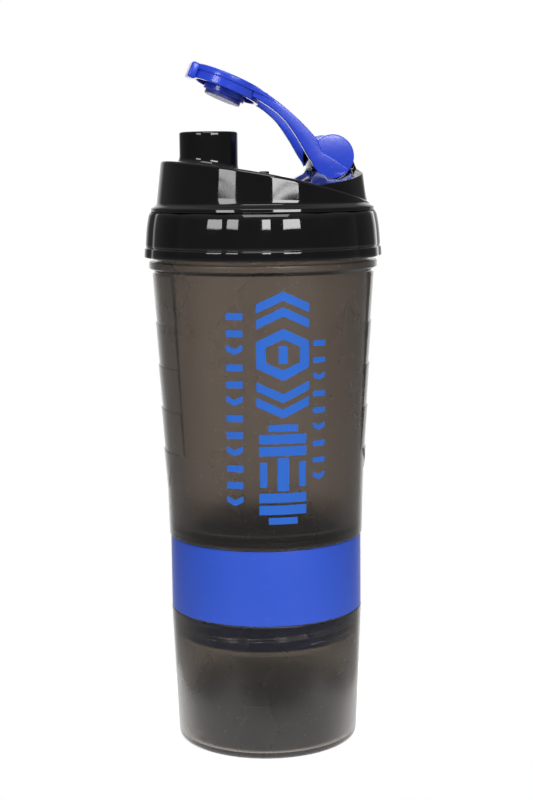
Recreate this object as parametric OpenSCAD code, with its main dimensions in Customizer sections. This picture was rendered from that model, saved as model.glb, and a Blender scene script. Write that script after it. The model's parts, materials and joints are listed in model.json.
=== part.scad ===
// Three-storey protein shaker. A storage jar, a storage ring and the drinking cup screw on top of
// each other, and a screw lid with a spout and a hinged flip cap closes the cup.
// Millimetres. The origin is the middle of the foot, +Z is up, the spout points to -X and the
// hinge of the cap lies across the +X side. The cap rests partly open.

/* [Body] */
// Outer radius of the storage ring, which every other radius starts from
body_r = 37.65; // [31:0.05:46]
// How far the jar's rim stands outside the ring
jar_proud = 0.15; // [0:0.05:0.5]
// How far the cup's foot stands outside the ring
cup_proud = 0.5; // [0.2:0.05:1]
// Gap left showing between two storeys
seam_gap = 0.2; // [0.1:0.05:0.5]

/* [Base jar] */
// Height of the base jar
jar_h = 53.3; // [44:0.1:80]
// How much narrower the jar is at its foot than at its rim
jar_draft = 2.25; // [0.5:0.05:4]
// Wall of the jar
jar_wall = 2; // [1.6:0.1:3]
// Floor of the jar
jar_floor = 2.2; // [1.6:0.1:4]
// Rounding round the jar's foot
jar_foot_round = 3.5; // [2.5:0.1:5]
// Depth of the recess under the jar
foot_recess = 0.6; // [0.3:0.1:1]
// Width of the ring that the jar stands on
foot_ring_w = 2; // [1.5:0.1:4]

/* [Pill tray] */
// Height of the pill tray
tray_h = 17.8; // [8:0.1:21]
// Wall of the pill tray
tray_wall = 1.3; // [1:0.1:2]
// Gap between the tray and the jar
tray_gap = 1; // [0.5:0.1:3]
// Number of compartments
tray_cells = 3; // [2:1:5]
// Radius of the post that the tray is lifted by
tray_post_r = 4; // [3:0.1:8]

/* [Storage ring] */
// Height of the blue ring between its two neighbours
ring_h = 29; // [24:0.1:50]
// Floor of the ring
ring_floor = 1.6; // [1.2:0.1:3]
// Wall of the ring below its socket
ring_wall = 2.25; // [1.9:0.05:3]
// Height above the ring's foot where its bore starts to widen
ring_taper_z = 2.3; // [2:0.1:4]
// Height in which the bore widens
ring_taper_h = 2; // [1:0.1:4]

/* [Screw necks of the storeys] */
// How deep a neck reaches into the storey below
neck_h = 11; // [10:0.1:14]
// Wall of a neck under its thread
neck_wall = 1.6; // [1.2:0.1:2.5]
// Wall left outside a socket
socket_wall = 1.65; // [1.4:0.05:2.5]
// Room below a neck in its socket
socket_spare = 1.2; // [0.6:0.1:2]
// Rise of the storeys' thread in one turn
neck_lead = 8; // [7:0.1:10]
// Length of each ridge in turns
neck_turns = 0.88; // [0.6:0.01:0.9]

/* [Thread form] */
// Height of a thread ridge
thread_h = 1; // [0.8:0.05:1.2]
// Width of a ridge where it leaves the wall
thread_root_w = 1.7; // [1.4:0.05:1.9]
// Width of a ridge at its crest
thread_crest_w = 0.8; // [0.5:0.05:1]
// Clearance from a crest to the wall that it faces
thread_gap = 0.4; // [0.3:0.05:0.6]

/* [Gaskets] */
// Thickness of the flat gaskets between storeys
gasket_t = 0.8; // [0.6:0.1:1.2]
// Width of a flat gasket
gasket_w = 2; // [1.6:0.1:2.3]
// Gap round the sides of a gasket
gasket_gap = 0.3; // [0.3:0.05:0.5]

/* [Cup] */
// Height of the cup from its foot to its rim
cup_h = 124.5; // [100:0.1:155]
// Floor of the cup
cup_floor = 1.8; // [1.4:0.1:3]
// How much the cup widens below the grips
cup_lower_flare = 0.45; // [0:0.05:1]
// Height of the cup's lower, steeper part
cup_lower_h = 18; // [12:0.1:22]
// How much the cup widens above that, up to the flange
cup_flare = 3.4; // [2:0.05:5]
// Wall of the cup above its foot
cup_wall = 1.95; // [1.7:0.05:2.5]
// Wall of the drinking neck under its thread
rim_wall = 1.8; // [1.5:0.1:2.5]
// Height of the drinking neck above the flange
rim_neck_h = 17.2; // [15:0.1:22]
// Thickness of the flange
flange_t = 2.5; // [1.5:0.1:4]
// How far the flange stands out from the wall
flange_out = 2.3; // [1.5:0.1:4]
// Height of the slope under the flange
flange_slope_h = 1.4; // [1:0.1:3]
// How far the ridges on the drinking neck stand outside the wall below
rim_proud = 0.2; // [0:0.05:0.5]
// Height above the cup's foot where its bore starts to widen
cup_taper_z = 2.3; // [2:0.1:4]
// Height in which the bore widens
cup_taper_h = 3.2; // [2:0.1:6]

/* [Grip panels] */
// Half-width of a grip panel
grip_half_w = 19.2; // [14:0.1:22]
// Height of one step of the grip
grip_pitch = 16.6; // [12:0.1:20]
// Full steps of the grip
grip_steps = 4; // [3:1:5]
// Height of the topmost step
grip_top_h = 19.2; // [14:0.1:22]
// Gap between the topmost step and the slope under the flange
grip_top_gap = 0.4; // [0.2:0.1:2]
// How far the grip stands proud at its foot
grip_proud_low = 0.35; // [0.2:0.05:0.8]
// How far the grip stands proud at its top
grip_proud_high = 0.85; // [0.4:0.05:1.2]
// Depth of each step
grip_step_d = 0.4; // [0.2:0.05:0.6]
// Height of the grip's pointed foot
grip_tip_h = 15.7; // [10:0.1:18]
// Rounding of the grip's pointed foot
grip_tip_r = 5; // [3:0.1:8]
// How much narrower the pointed foot starts than the panel
grip_tip_inset = 3; // [1:0.1:6]

/* [Strainer] */
// Thickness of the strainer's flange and mesh
strainer_t = 0.8; // [0.6:0.1:1.5]
// Depth of the strainer below the cup's rim
strainer_depth = 5; // [3:0.1:8]
// Gap between the strainer and the cup
strainer_gap = 0.35; // [0.3:0.05:0.6]
// Radius of a strainer hole
strainer_hole_r = 2.1; // [1.2:0.1:2.4]
// Distance between two rings of holes
strainer_ring_pitch = 6.8; // [6:0.1:9]
// Rings of holes
strainer_rings = 5; // [3:1:5]
// Wall round the strainer's dish
strainer_wall = 1.2; // [0.8:0.1:2]

/* [Lid] */
// Thickness of the lid's seal
lid_seal_t = 1.2; // [0.8:0.1:2]
// Rise of the lid's thread in one turn
lid_lead = 9; // [8:0.1:11]
// Length of each of the lid's ridges in turns
lid_turns = 1.2; // [0.8:0.01:1.3]
// Gap between the flange and the collar
collar_gap = 1.5; // [0.8:0.1:3]
// Lobes round the collar
collar_lobes = 15; // [12:1:20]
// Thickness of the collar at the crown of a lobe
collar_wall = 3.75; // [3:0.05:5]
// How much a lobe leans in towards the top
collar_draft = 1.3; // [0.5:0.05:2]
// Depth of the valley between two lobes
lobe_dip = 0.7; // [0.3:0.05:1.2]
// Slope of a lobe into its valley
lobe_slope = 0.135; // [0.08:0.005:0.2]
// Wall of the shoulder over the thread
shoulder_wall = 0.8; // [0.6:0.05:1.5]
// Height of the shoulder above the collar
shoulder_h = 1.3; // [1:0.1:2]
// How far the shoulder slopes in to the dome
shoulder_in = 2.2; // [1:0.1:3]
// Height of that slope
shoulder_slope_h = 1.5; // [1:0.1:3]
// Wall of the dome
dome_wall = 2; // [1.6:0.1:3]
// How much the dome's side leans in
dome_draft = 2; // [1:0.1:3]
// Height of the dome's side at the spout
dome_high = 19.6; // [16:0.1:26]
// Height of the dome's side at the hinge
dome_low = 2.55; // [2.3:0.05:6]
// Radius of the dome's gently arched top
crown_r = 444; // [200:1:600]

/* [Spout] */
// Distance from the dome's front edge to the middle of the spout
spout_inset = 20.5; // [18:0.1:24]
// Outer radius of the spout
spout_r = 11.3; // [9:0.1:12]
// Wall of the spout
spout_wall = 2; // [1.5:0.1:3]
// Height of the spout above the lid's thread
spout_top = 30; // [27:0.1:36]
// How far the foot of the spout flares out
spout_flare = 1.4; // [0.5:0.1:2.5]
// Place of the small nub on the dome, behind the bottle's axis
nub_x = 0.8; // [-2:0.1:2]
// Radius of the nub
nub_r = 2; // [1:0.1:3]
// Height of the nub
nub_h = 1.9; // [1:0.1:3]

/* [Hinge] */
// Distance from the dome's rear edge to the hinge's axis
hinge_inset = 15.5; // [14:0.1:20]
// Height of the hinge's axis above the lid's thread
hinge_up = 20.2; // [18:0.1:26]
// Half-width of the hinge tower
tower_half_w = 8; // [6:0.1:10]
// Radius of the tower's round top
tower_top_r = 7.2; // [6:0.1:8]
// Height of the saddle under the tower, above the lid's thread
saddle_h = 15.4; // [14:0.1:18]
// How far the saddle's outer edge stays inside the dome's side
tower_inset = 0.3; // [0.1:0.05:1]
// Slope of the saddle to each side
saddle_slope = 11; // [6:1:16]
// Distance from the hinge's axis to the saddle's front end
saddle_front = 20.2; // [14:0.1:24]
// Height of the saddle's front end above the lid's thread
saddle_front_h = 11.3; // [9:0.1:14]
// Distance from the hinge's axis to the tower's foot in front of it
tower_front_foot = 7.8; // [7.2:0.1:10]
// Distance from the hinge's axis to the tower's foot behind it
tower_rear_foot = 9.8; // [7.2:0.1:12]
// Clearance round a disc where the saddle is scooped out for it
scoop_gap = 0.5; // [0.3:0.1:1]
// Radius of the cap's pivot studs
stud_r = 2.5; // [2:0.1:3]
// Length of the cap's pivot studs
stud_l = 3.8; // [2.5:0.1:5]
// Radial clearance of a stud in its bore
stud_clear = 0.06; // [0.02:0.01:0.1]
// Gap between the tower and the cap's discs
hinge_gap = 0.3; // [0.3:0.05:0.6]

/* [Flip cap] */
// How far the cap stands open at rest, in degrees
cap_open = 23.3; // [10:0.1:40]
// Radius of the round discs at the hinge
disc_r = 8.36; // [7.5:0.01:9]
// Thickness of the discs and arms
arm_t = 2.6; // [2:0.1:3.5]
// Height of an arm at the head
arm_head_h = 4.4; // [3:0.1:5]
// Height of an arm at its waist
arm_waist_h = 2.9; // [2:0.1:4]
// Where the waist starts and ends, from the hinge's axis
arm_waist_from = 16; // [13:0.1:18]
arm_waist_to = 22.6; // [19:0.1:26]
// How far the arms run in under the edge of the head's plate
arm_root = 5.1; // [3:0.1:7]
// Wall of the skirt round the spout
skirt_wall = 1.7; // [1.2:0.1:2.5]
// Gap between the skirt and the spout
skirt_gap = 0.6; // [0.5:0.05:1]
// How far the skirt reaches down round the spout
skirt_depth = 2.6; // [1.5:0.1:3]
// Thickness of the cap's top plate at its edge
plate_t = 2.2; // [1.6:0.1:3]
// How far the top plate is crowned
plate_crown = 1.4; // [0.5:0.1:2]
// How far the top plate overhangs the skirt
plate_over = 0.5; // [0.2:0.1:1]
// Gap between the closed plate and the spout
plate_gap = 0.6; // [0.4:0.1:1]
// Radius of the plug
plug_r = 8.3; // [6:0.1:8.5]
// Radius of the seal under the plug
plug_seal_r = 7.2; // [5:0.1:7.4]
// How far the blue plug reaches into the spout
plug_depth = 4.5; // [3:0.1:5]
// Thickness of the seal under the plug
plug_seal_t = 1.3; // [0.8:0.1:1.8]
// Width of the thumb tab
tab_w = 11; // [8:0.1:16]
// Thickness of the thumb tab
tab_t = 3.2; // [2:0.1:4]
// Height of the thumb tab
tab_h = 6.2; // [4:0.1:7]
// Thickness of the bridge that joins the arms behind the plate
bridge_t = 0.9; // [0.6:0.1:1.4]
// How far the bridge reaches past the plate
bridge_out = 1.6; // [0:0.1:3]

/* [Hidden] */

// Facets used on round things, with more for the dome's large arch.
round_fn = 120;
arch_fn = 720;
hole_fn = 32;
// How far a cut runs past the face that it opens.
over = 1;
// How far a ridge is sunk into its wall, and how many steps a full turn has.
thread_sink = 0.35;
thread_steps = 36;
// Both ridges of a two-start thread, and the angle where the first one begins.
thread_starts = [0, 180];
thread_from = 7;
// Turning one thread by this angle puts its ridges midway between those of its mate.
half_pitch_turn = 90;
// A ridge keeps this far from the end of its neck.
thread_inset = 1.5;
// How deep the foot of the spout and of the nub is sunk below the dome's top.
dome_sink = 3.2;
// How deep the cap's skirt, plug, tab and studs are sunk in what carries them.
plate_sink = 0.5;
tab_sink = 1.2;
stud_sink = 1;
// Where the top and bottom edges of an arm meet its disc, as angles from the arm's direction.
arm_top_angle = 26;
arm_low_angle = -9.7;
// How deep the solid rings of the grip reach inside the bore of the rim.
grip_depth = 3.4;

// Necks and sockets of the storeys, from the outside in.
socket_r = body_r - socket_wall;
neck_crest_r = socket_r - thread_gap;
neck_r = neck_crest_r - thread_h;
neck_bore_r = neck_r - neck_wall;
socket_h = neck_h + socket_spare;
gasket_in_r = neck_r + gasket_gap;
gasket_out_r = gasket_in_r + gasket_w;
gasket_recess = gasket_t - seam_gap;

// Heights of the storeys.
ring_z = jar_h + seam_gap;
ring_top = ring_z + ring_h;
cup_z = ring_top + seam_gap;
cup_top = cup_z + cup_h;

// The jar.
jar_rim_r = body_r + jar_proud;
jar_foot_r = jar_rim_r - jar_draft;
tray_r = jar_foot_r - jar_wall - tray_gap;

// The cup.
cup_foot_r = body_r + cup_proud;
cup_mid_r = cup_foot_r + cup_lower_flare;
flange_top = cup_top - rim_neck_h;
flange_z = flange_top - flange_t;
cup_wall_top = flange_z - flange_slope_h;
cup_wall_r = cup_mid_r + cup_flare;
rim_r = cup_wall_r + rim_proud - thread_h;
rim_bore_r = rim_r - rim_wall;
foot_bore_r = cup_foot_r - cup_wall;
neck_bore_top = cup_z + cup_taper_z;
foot_bore_z = neck_bore_top + cup_taper_h;
grip_top = cup_wall_top - grip_top_gap;
grip_low = grip_top - grip_top_h - (grip_steps - 1) * grip_pitch;

// The lid.
roof_z = cup_top + strainer_t + lid_seal_t;
collar_z = flange_top + collar_gap;
collar_h = roof_z - collar_z;
lid_thread_r = rim_r + thread_h + thread_gap;
collar_r = lid_thread_r + collar_wall;
shoulder_r = lid_thread_r + shoulder_wall;
dome_r = shoulder_r - shoulder_in;
dome_z = roof_z + shoulder_h + shoulder_slope_h;
spout_x = spout_inset - dome_r;
spout_bore_r = spout_r - spout_wall;
hinge_x = dome_r - hinge_inset;
hinge_z = roof_z + hinge_up;

// The flip cap, closed, measured from the hinge's axis.
cap_x = spout_x - hinge_x;
cap_spout_z = spout_top - hinge_up;
skirt_r = spout_r + skirt_gap + skirt_wall;
plate_z = cap_spout_z + plate_gap;
plate_top = plate_z + plate_t;
plate_r = skirt_r + plate_over;
arm_y = tower_half_w + hinge_gap;
crown_ball_r = (pow(plate_r, 2) + pow(plate_crown, 2)) / (2 * plate_crown);

// A two-start thread: one closed solid swept along each helix.
// r is the wall that the ridge stands on and side is 1 for outside or -1 for inside.
function ridge_taper(i, n) = min(1, i / 3, (n - i) / 3);
function ridge_ring(i, n, r, side, lead, z0, a0) =
    let (a = a0 + i * 360 / thread_steps,
         z = z0 + lead * i / thread_steps,
         taper = ridge_taper(i, n),
         foot = r - side * thread_sink,
         crest = r + side * (thread_h * taper - thread_sink / 2 * (1 - taper)))
    [for (p = [[foot, -thread_root_w / 2], [crest, -thread_crest_w / 2],
               [crest, thread_crest_w / 2], [foot, thread_root_w / 2]])
        [p[0] * cos(a), p[0] * sin(a), z + p[1]]];

module ridge(r, side, lead, z0, a0, turns) {
    n = round(turns * thread_steps);
    points = [for (i = [0:n]) each ridge_ring(i, n, r, side, lead, z0, a0)];
    walls = [for (i = [0:n - 1], k = [0:3])
        let (a = 4 * i + k, b = 4 * i + (k + 1) % 4)
        each [[a, a + 4, b + 4], [a, b + 4, b]]];
    last = 4 * n;
    ends = [[0, 1, 2], [0, 2, 3], [last + 2, last + 1, last], [last + 3, last + 2, last]];
    faces = concat(walls, ends);
    polyhedron(points, side < 0 ? faces : [for (f = faces) [f[2], f[1], f[0]]]);
}

module thread(r, side, lead, z0, turns) {
    turn = side > 0 ? 0 : half_pitch_turn;
    for (start = thread_starts) {
        ridge(r, side, lead, z0, thread_from + start + turn, turns);
    }
}

// A flat ring lying on a plane.
module flat_ring(outer, inner, t) {
    difference() {
        cylinder(r = outer, h = t, $fn = round_fn);
        translate([0, 0, -over])
            cylinder(r = inner, h = t + 2 * over, $fn = round_fn);
    }
}

// The threaded inside of a storey's mouth, as a cut below its rim at height z.
module socket_cut(z) {
    translate([0, 0, z - socket_h])
        cylinder(r = socket_r, h = socket_h + over, $fn = round_fn);
}

// The ridges that grip inside the socket below the plane at height z.
module neck_thread(z, side) {
    r = side > 0 ? neck_r : socket_r;
    thread(r, side, neck_lead, z - neck_h + thread_inset, neck_turns);
}

// The recess that a flat gasket lies in, under a shoulder at height z.
module gasket_recess_cut(z) {
    translate([0, 0, z - over])
        flat_ring(gasket_out_r + gasket_gap, neck_r, gasket_recess + over);
}

module base_jar() color([0.30, 0.28, 0.26, 0.6]) {
    flat = jar_foot_r - jar_foot_round;
    inner_low = jar_foot_r - jar_wall;
    inner_high = jar_rim_r - jar_wall;
    difference() {
        rotate_extrude($fn = round_fn) {
            polygon([[0, 0], [flat, 0], [jar_foot_r, jar_foot_round], [jar_rim_r, jar_h], [0, jar_h]]);
            intersection() {
                translate([flat, jar_foot_round]) circle(r = jar_foot_round, $fn = round_fn);
                square([jar_foot_r, jar_foot_round]);
            }
        }
        // The recess that leaves the jar standing on a ring.
        translate([0, 0, -over])
            cylinder(r = flat - foot_ring_w, h = foot_recess + over, $fn = round_fn);
        translate([0, 0, jar_floor])
            cylinder(r1 = inner_low, r2 = inner_high, h = jar_h, $fn = round_fn);
        socket_cut(jar_h);
    }
    neck_thread(ring_z, -1);
}

module pill_tray() color([0.35, 0.36, 0.30, 0.6]) {
    chamfer = 1.2;
    translate([0, 0, jar_floor]) {
        difference() {
            rotate_extrude($fn = round_fn)
                polygon([[0, 0], [tray_r - chamfer, 0], [tray_r, chamfer], [tray_r, tray_h], [0, tray_h]]);
            translate([0, 0, tray_wall])
                cylinder(r = tray_r - tray_wall, h = tray_h, $fn = round_fn);
        }
        for (i = [0:tray_cells - 1]) {
            rotate([0, 0, 60 + i * 360 / tray_cells])
                translate([0, -tray_wall / 2, tray_wall / 2])
                cube([tray_r - tray_wall / 2, tray_wall, tray_h - 2 * tray_wall]);
        }
        cylinder(r = tray_post_r, h = tray_h, $fn = round_fn);
    }
}

module ring_seal() color([0.80, 0.80, 0.78]) {
    translate([0, 0, jar_h]) flat_ring(gasket_out_r, gasket_in_r, gasket_t);
}

module storage_ring() color([0.22, 0.33, 0.82]) {
    neck_z = ring_z - neck_h;
    taper_z = ring_z + ring_taper_z;
    ring_bore_r = body_r - ring_wall;
    difference() {
        union() {
            translate([0, 0, neck_z])
                cylinder(r = neck_r, h = neck_h + over, $fn = round_fn);
            translate([0, 0, ring_z])
                cylinder(r = body_r, h = ring_h, $fn = round_fn);
        }
        translate([0, 0, neck_z + ring_floor])
            cylinder(r = neck_bore_r, h = neck_h + ring_h, $fn = round_fn);
        translate([0, 0, taper_z])
            cylinder(r1 = neck_bore_r, r2 = ring_bore_r, h = ring_taper_h, $fn = round_fn);
        translate([0, 0, taper_z + ring_taper_h])
            cylinder(r = ring_bore_r, h = ring_h, $fn = round_fn);
        socket_cut(ring_top);
        gasket_recess_cut(ring_z);
    }
    neck_thread(ring_z, 1);
    neck_thread(cup_z, -1);
}

module cup_seal() color([0.80, 0.80, 0.78]) {
    translate([0, 0, ring_top]) flat_ring(gasket_out_r, gasket_in_r, gasket_t);
}

// The cup's outside, from its foot to its rim.
module cup_outside() {
    lower_top = cup_z + cup_lower_h;
    rotate_extrude($fn = round_fn)
        polygon([[0, cup_z - neck_h], [neck_r, cup_z - neck_h], [neck_r, cup_z], [cup_foot_r, cup_z],
                 [cup_mid_r, lower_top], [cup_wall_r, cup_wall_top],
                 [cup_wall_r + flange_out, flange_z], [cup_wall_r + flange_out, flange_top],
                 [rim_r, flange_top], [rim_r, cup_top], [0, cup_top]]);
}

module cup_inside() {
    rotate_extrude($fn = round_fn)
        polygon([[0, cup_z - neck_h + cup_floor], [neck_bore_r, cup_z - neck_h + cup_floor],
                 [neck_bore_r, neck_bore_top], [foot_bore_r, foot_bore_z],
                 [rim_bore_r, flange_z], [rim_bore_r, cup_top + over], [0, cup_top + over]]);
}

// The radius of the cup's wall at a height above its lower part.
function wall_r(z) =
    cup_mid_r + cup_flare * (z - cup_z - cup_lower_h) / (cup_wall_top - cup_z - cup_lower_h);

// How far the grip stands proud on average at a height.
function grip_proud(z) =
    grip_proud_low + (grip_proud_high - grip_proud_low) * (z - grip_low) / (grip_top - grip_low);

// One step of the grip leans out from its foot to its top edge.
module grip_step(z0, z1) {
    rotate_extrude($fn = round_fn)
        polygon([[rim_bore_r - grip_depth, z0],
                 [wall_r(z0) + grip_proud(z0) - grip_step_d / 2, z0],
                 [wall_r(z1) + grip_proud(z1) + grip_step_d / 2, z1],
                 [rim_bore_r - grip_depth, z1]]);
}

// The outline of a grip panel, seen from the side: straight flanks and a rounded point below.
module grip_outline() {
    half_low = grip_half_w - grip_tip_inset;
    reach = grip_tip_h - grip_tip_r;
    // The flank of the point touches the tip's circle here.
    lean = atan2(half_low - grip_tip_r, reach);
    touch = [grip_tip_r * cos(lean), -grip_tip_r * sin(lean)];
    translate([-grip_half_w, grip_low])
        square([2 * grip_half_w, grip_top - grip_low]);
    translate([0, grip_low - reach]) {
        circle(r = grip_tip_r, $fn = round_fn);
        polygon([[-half_low, reach], [-touch[0], touch[1]], [touch[0], touch[1]], [half_low, reach]]);
    }
}

module grip_steps_all() {
    edges = concat([grip_low - grip_tip_h], [for (i = [0:grip_steps - 1]) grip_low + i * grip_pitch],
                   [grip_top]);
    for (i = [0:grip_steps]) {
        grip_step(edges[i], edges[i + 1]);
    }
}

module cup() color([0.33, 0.30, 0.28, 0.6]) {
    difference() {
        union() {
            cup_outside();
            intersection() {
                grip_steps_all();
                rotate([90, 0, 90])
                    linear_extrude(height = 3 * body_r, center = true) grip_outline();
            }
        }
        cup_inside();
        gasket_recess_cut(cup_z);
    }
    neck_thread(cup_z, 1);
    thread(rim_r, 1, lid_lead, collar_z + thread_inset, lid_turns);
}

module strainer() color([0.12, 0.12, 0.13]) {
    outer = rim_bore_r - strainer_gap;
    mesh_z = cup_top - strainer_depth;
    difference() {
        union() {
            translate([0, 0, cup_top])
                cylinder(r = rim_r - strainer_gap, h = strainer_t, $fn = round_fn);
            translate([0, 0, mesh_z])
                cylinder(r = outer, h = strainer_depth + strainer_t, $fn = round_fn);
        }
        translate([0, 0, mesh_z + strainer_t])
            cylinder(r = outer - strainer_wall, h = strainer_depth + over, $fn = round_fn);
        for (k = [1:strainer_rings], i = [1:6 * k]) {
            rotate([0, 0, i * 60 / k])
                translate([k * strainer_ring_pitch, 0, mesh_z - over])
                cylinder(r = strainer_hole_r, h = strainer_t + 2 * over, $fn = hole_fn);
        }
        translate([0, 0, mesh_z - over])
            cylinder(r = strainer_hole_r, h = strainer_t + 2 * over, $fn = hole_fn);
    }
}

module lid_seal() color([0.80, 0.80, 0.78]) {
    translate([0, 0, cup_top + strainer_t])
        flat_ring(rim_r - gasket_gap, rim_bore_r + gasket_gap, lid_seal_t);
}

// The middle of the arch over the dome, in the plane y = 0, from its two edge heights.
function arch_centre() =
    let (chord = [2 * dome_r, dome_low - dome_high],
         up = [-chord[1], chord[0]] / norm(chord),
         drop = sqrt(pow(crown_r, 2) - pow(norm(chord) / 2, 2)))
    [0, roof_z + (dome_high + dome_low) / 2] - up * drop;

// The height of the dome's top in the middle plane.
function arch_z(x) =
    let (centre = arch_centre())
    centre[1] + sqrt(pow(crown_r, 2) - pow(x - centre[0], 2));

module arch(inset) {
    centre = arch_centre();
    translate([centre[0], 0, centre[1]])
        rotate([90, 0, 0])
        cylinder(r = crown_r - inset, h = 4 * body_r, center = true, $fn = arch_fn);
}

// The dome: a leaning side under the arch, drawn in by inset for the hollow inside.
module dome(inset, z0) {
    h = dome_high + 3 * over;
    lean = dome_draft / (dome_high - dome_z + roof_z);
    rise = z0 - dome_z;
    intersection() {
        translate([0, 0, z0])
            cylinder(r1 = dome_r - inset - lean * rise, r2 = dome_r - inset - lean * (rise + h),
                     h = h, $fn = round_fn);
        arch(inset);
    }
}

// The tower's outline from the side, with the saddle in front of it and behind it.
module tower_side() {
    saddle_x = hinge_x - saddle_front;
    saddle_z = roof_z + saddle_h;
    polygon([[saddle_x, roof_z], [saddle_x, roof_z + saddle_front_h],
             [hinge_x - tower_front_foot, saddle_z], [hinge_x - tower_top_r, hinge_z],
             [hinge_x + tower_top_r, hinge_z], [hinge_x + tower_rear_foot, saddle_z],
             [dome_r + over, roof_z]]);
    translate([hinge_x, hinge_z]) circle(r = tower_top_r, $fn = round_fn);
}

// The tower's outline from the front: upright cheeks on a saddle that falls away to both sides.
module tower_front() {
    drop = (dome_r - tower_half_w) * tan(saddle_slope);
    saddle_z = roof_z + saddle_h;
    for (side = [-1, 1]) {
        polygon([[0, roof_z], [side * dome_r, roof_z], [side * dome_r, saddle_z - drop],
                 [side * tower_half_w, saddle_z], [side * tower_half_w, hinge_z + 2 * tower_top_r],
                 [0, hinge_z + 2 * tower_top_r]]);
    }
}

module hinge_tower() {
    reach = 1.6;
    intersection() {
        rotate([90, 0, 0])
            linear_extrude(height = 4 * body_r, center = true) tower_side();
        rotate([90, 0, 90])
            linear_extrude(height = 4 * body_r, center = true) tower_front();
        translate([0, 0, dome_z - over])
            cylinder(r1 = dome_r - tower_inset, r2 = dome_r - tower_inset - reach * dome_draft,
                     h = reach * dome_high, $fn = round_fn);
    }
}

// The two scoops in the saddle that leave room for the cap's discs.
module disc_scoops() {
    for (side = [-1, 1]) {
        translate([hinge_x, side * tower_half_w, hinge_z])
            rotate([-90 * side, 0, 0])
            cylinder(r = disc_r + scoop_gap, h = dome_r, $fn = round_fn);
    }
}

// The shallow valley between two lobes of the collar. It leans in as the collar does.
module collar_valley() {
    flank = lobe_dip / lobe_slope + over;
    translate([collar_r - lobe_dip, 0, collar_z])
        rotate([0, -atan(collar_draft / collar_h), 0])
        translate([0, 0, -over])
        linear_extrude(height = collar_h + 3 * over)
        polygon([[0, 0], [flank * lobe_slope, -flank], [flank * lobe_slope, flank]]);
}

module collar() {
    difference() {
        translate([0, 0, collar_z])
            cylinder(r1 = collar_r, r2 = collar_r - collar_draft, h = collar_h, $fn = round_fn);
        for (i = [0:collar_lobes - 1]) {
            rotate([0, 0, (i + 0.5) * 360 / collar_lobes + 180]) collar_valley();
        }
    }
}

module lid() color([0.05, 0.05, 0.06]) {
    spout_low = arch_z(spout_x) - dome_sink;
    difference() {
        union() {
            collar();
            translate([0, 0, roof_z])
                cylinder(r = shoulder_r, h = shoulder_h, $fn = round_fn);
            translate([0, 0, roof_z + shoulder_h])
                cylinder(r1 = shoulder_r, r2 = dome_r, h = dome_z - roof_z - shoulder_h, $fn = round_fn);
            dome(0, dome_z);
            translate([spout_x, 0, spout_low]) {
                cylinder(r = spout_r, h = roof_z + spout_top - spout_low, $fn = round_fn);
                cylinder(r1 = spout_r + 2 * spout_flare, r2 = spout_r, h = 2 * dome_sink,
                         $fn = round_fn);
            }
            hinge_tower();
            translate([nub_x, 0, arch_z(nub_x) - dome_sink])
                cylinder(r = nub_r, h = dome_sink + nub_h, $fn = round_fn);
        }
        // The threaded mouth and the hollow under the dome.
        translate([0, 0, collar_z - over])
            cylinder(r = lid_thread_r, h = collar_h + over, $fn = round_fn);
        dome(dome_wall, roof_z - over);
        translate([spout_x, 0, roof_z])
            cylinder(r = spout_bore_r, h = spout_top + over, $fn = round_fn);
        disc_scoops();
        // The bore that the cap's studs turn in.
        translate([hinge_x, 0, hinge_z])
            rotate([90, 0, 0])
            cylinder(r = stud_r + stud_clear, h = 2 * tower_half_w + 2 * over, center = true,
                     $fn = round_fn);
    }
    thread(lid_thread_r, -1, lid_lead, collar_z + thread_inset, lid_turns);
}

// Puts what is drawn closed, measured from the hinge's axis, in its place and opens it.
module on_hinge() {
    translate([hinge_x, 0, hinge_z]) rotate([0, cap_open, 0]) children();
}

// A point on the rim of the disc, at an angle above the arm's direction.
function on_disc(angle) = disc_r * [-cos(angle), sin(angle)];

// The height of an arm's top edge, which runs straight from the plate's edge to the disc.
function arm_top(x) =
    let (a = [cap_x + plate_r, plate_top - plate_t / 2],
         b = on_disc(arm_top_angle))
    a[1] + (b[1] - a[1]) * (x - a[0]) / (b[0] - a[0]);

// One arm from the side: a blade with a waist that runs into the round disc.
module arm_side() {
    root = cap_x + plate_r - arm_root;
    circle(r = disc_r, $fn = round_fn);
    polygon([[root, arm_top(root) - arm_head_h], [root, plate_top],
             [cap_x + plate_r, arm_top(cap_x + plate_r)],
             on_disc(arm_top_angle), [0, 0], on_disc(arm_low_angle),
             [-arm_waist_from, arm_top(-arm_waist_from) - arm_waist_h],
             [-arm_waist_to, arm_top(-arm_waist_to) - arm_waist_h]]);
}

module cap_arm(side) {
    rotate([90, 0, 0])
        translate([0, 0, side > 0 ? -arm_y - arm_t : arm_y])
        linear_extrude(height = arm_t) arm_side();
    // The stud that turns in the tower.
    translate([0, side * (arm_y - stud_l), 0])
        rotate([-90 * side, 0, 0])
        cylinder(r = stud_r, h = stud_l + stud_sink, $fn = round_fn);
}

module cap_head() {
    translate([cap_x, 0, 0]) {
        // The plate and the ball-shaped crown on it.
        translate([0, 0, plate_z])
            cylinder(r = plate_r, h = plate_t, $fn = round_fn);
        intersection() {
            translate([0, 0, plate_top + plate_crown - crown_ball_r])
                sphere(r = crown_ball_r, $fn = 4 * round_fn);
            translate([0, 0, plate_z + plate_t / 2])
                cylinder(r = plate_r, h = plate_t + plate_crown, $fn = round_fn);
        }
        translate([0, 0, cap_spout_z - skirt_depth])
            flat_ring(skirt_r, skirt_r - skirt_wall, skirt_depth + plate_gap + plate_sink);
        translate([0, 0, cap_spout_z - plug_depth])
            cylinder(r = plug_r, h = plug_depth + plate_gap + plate_sink, $fn = round_fn);
    }
}

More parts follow.
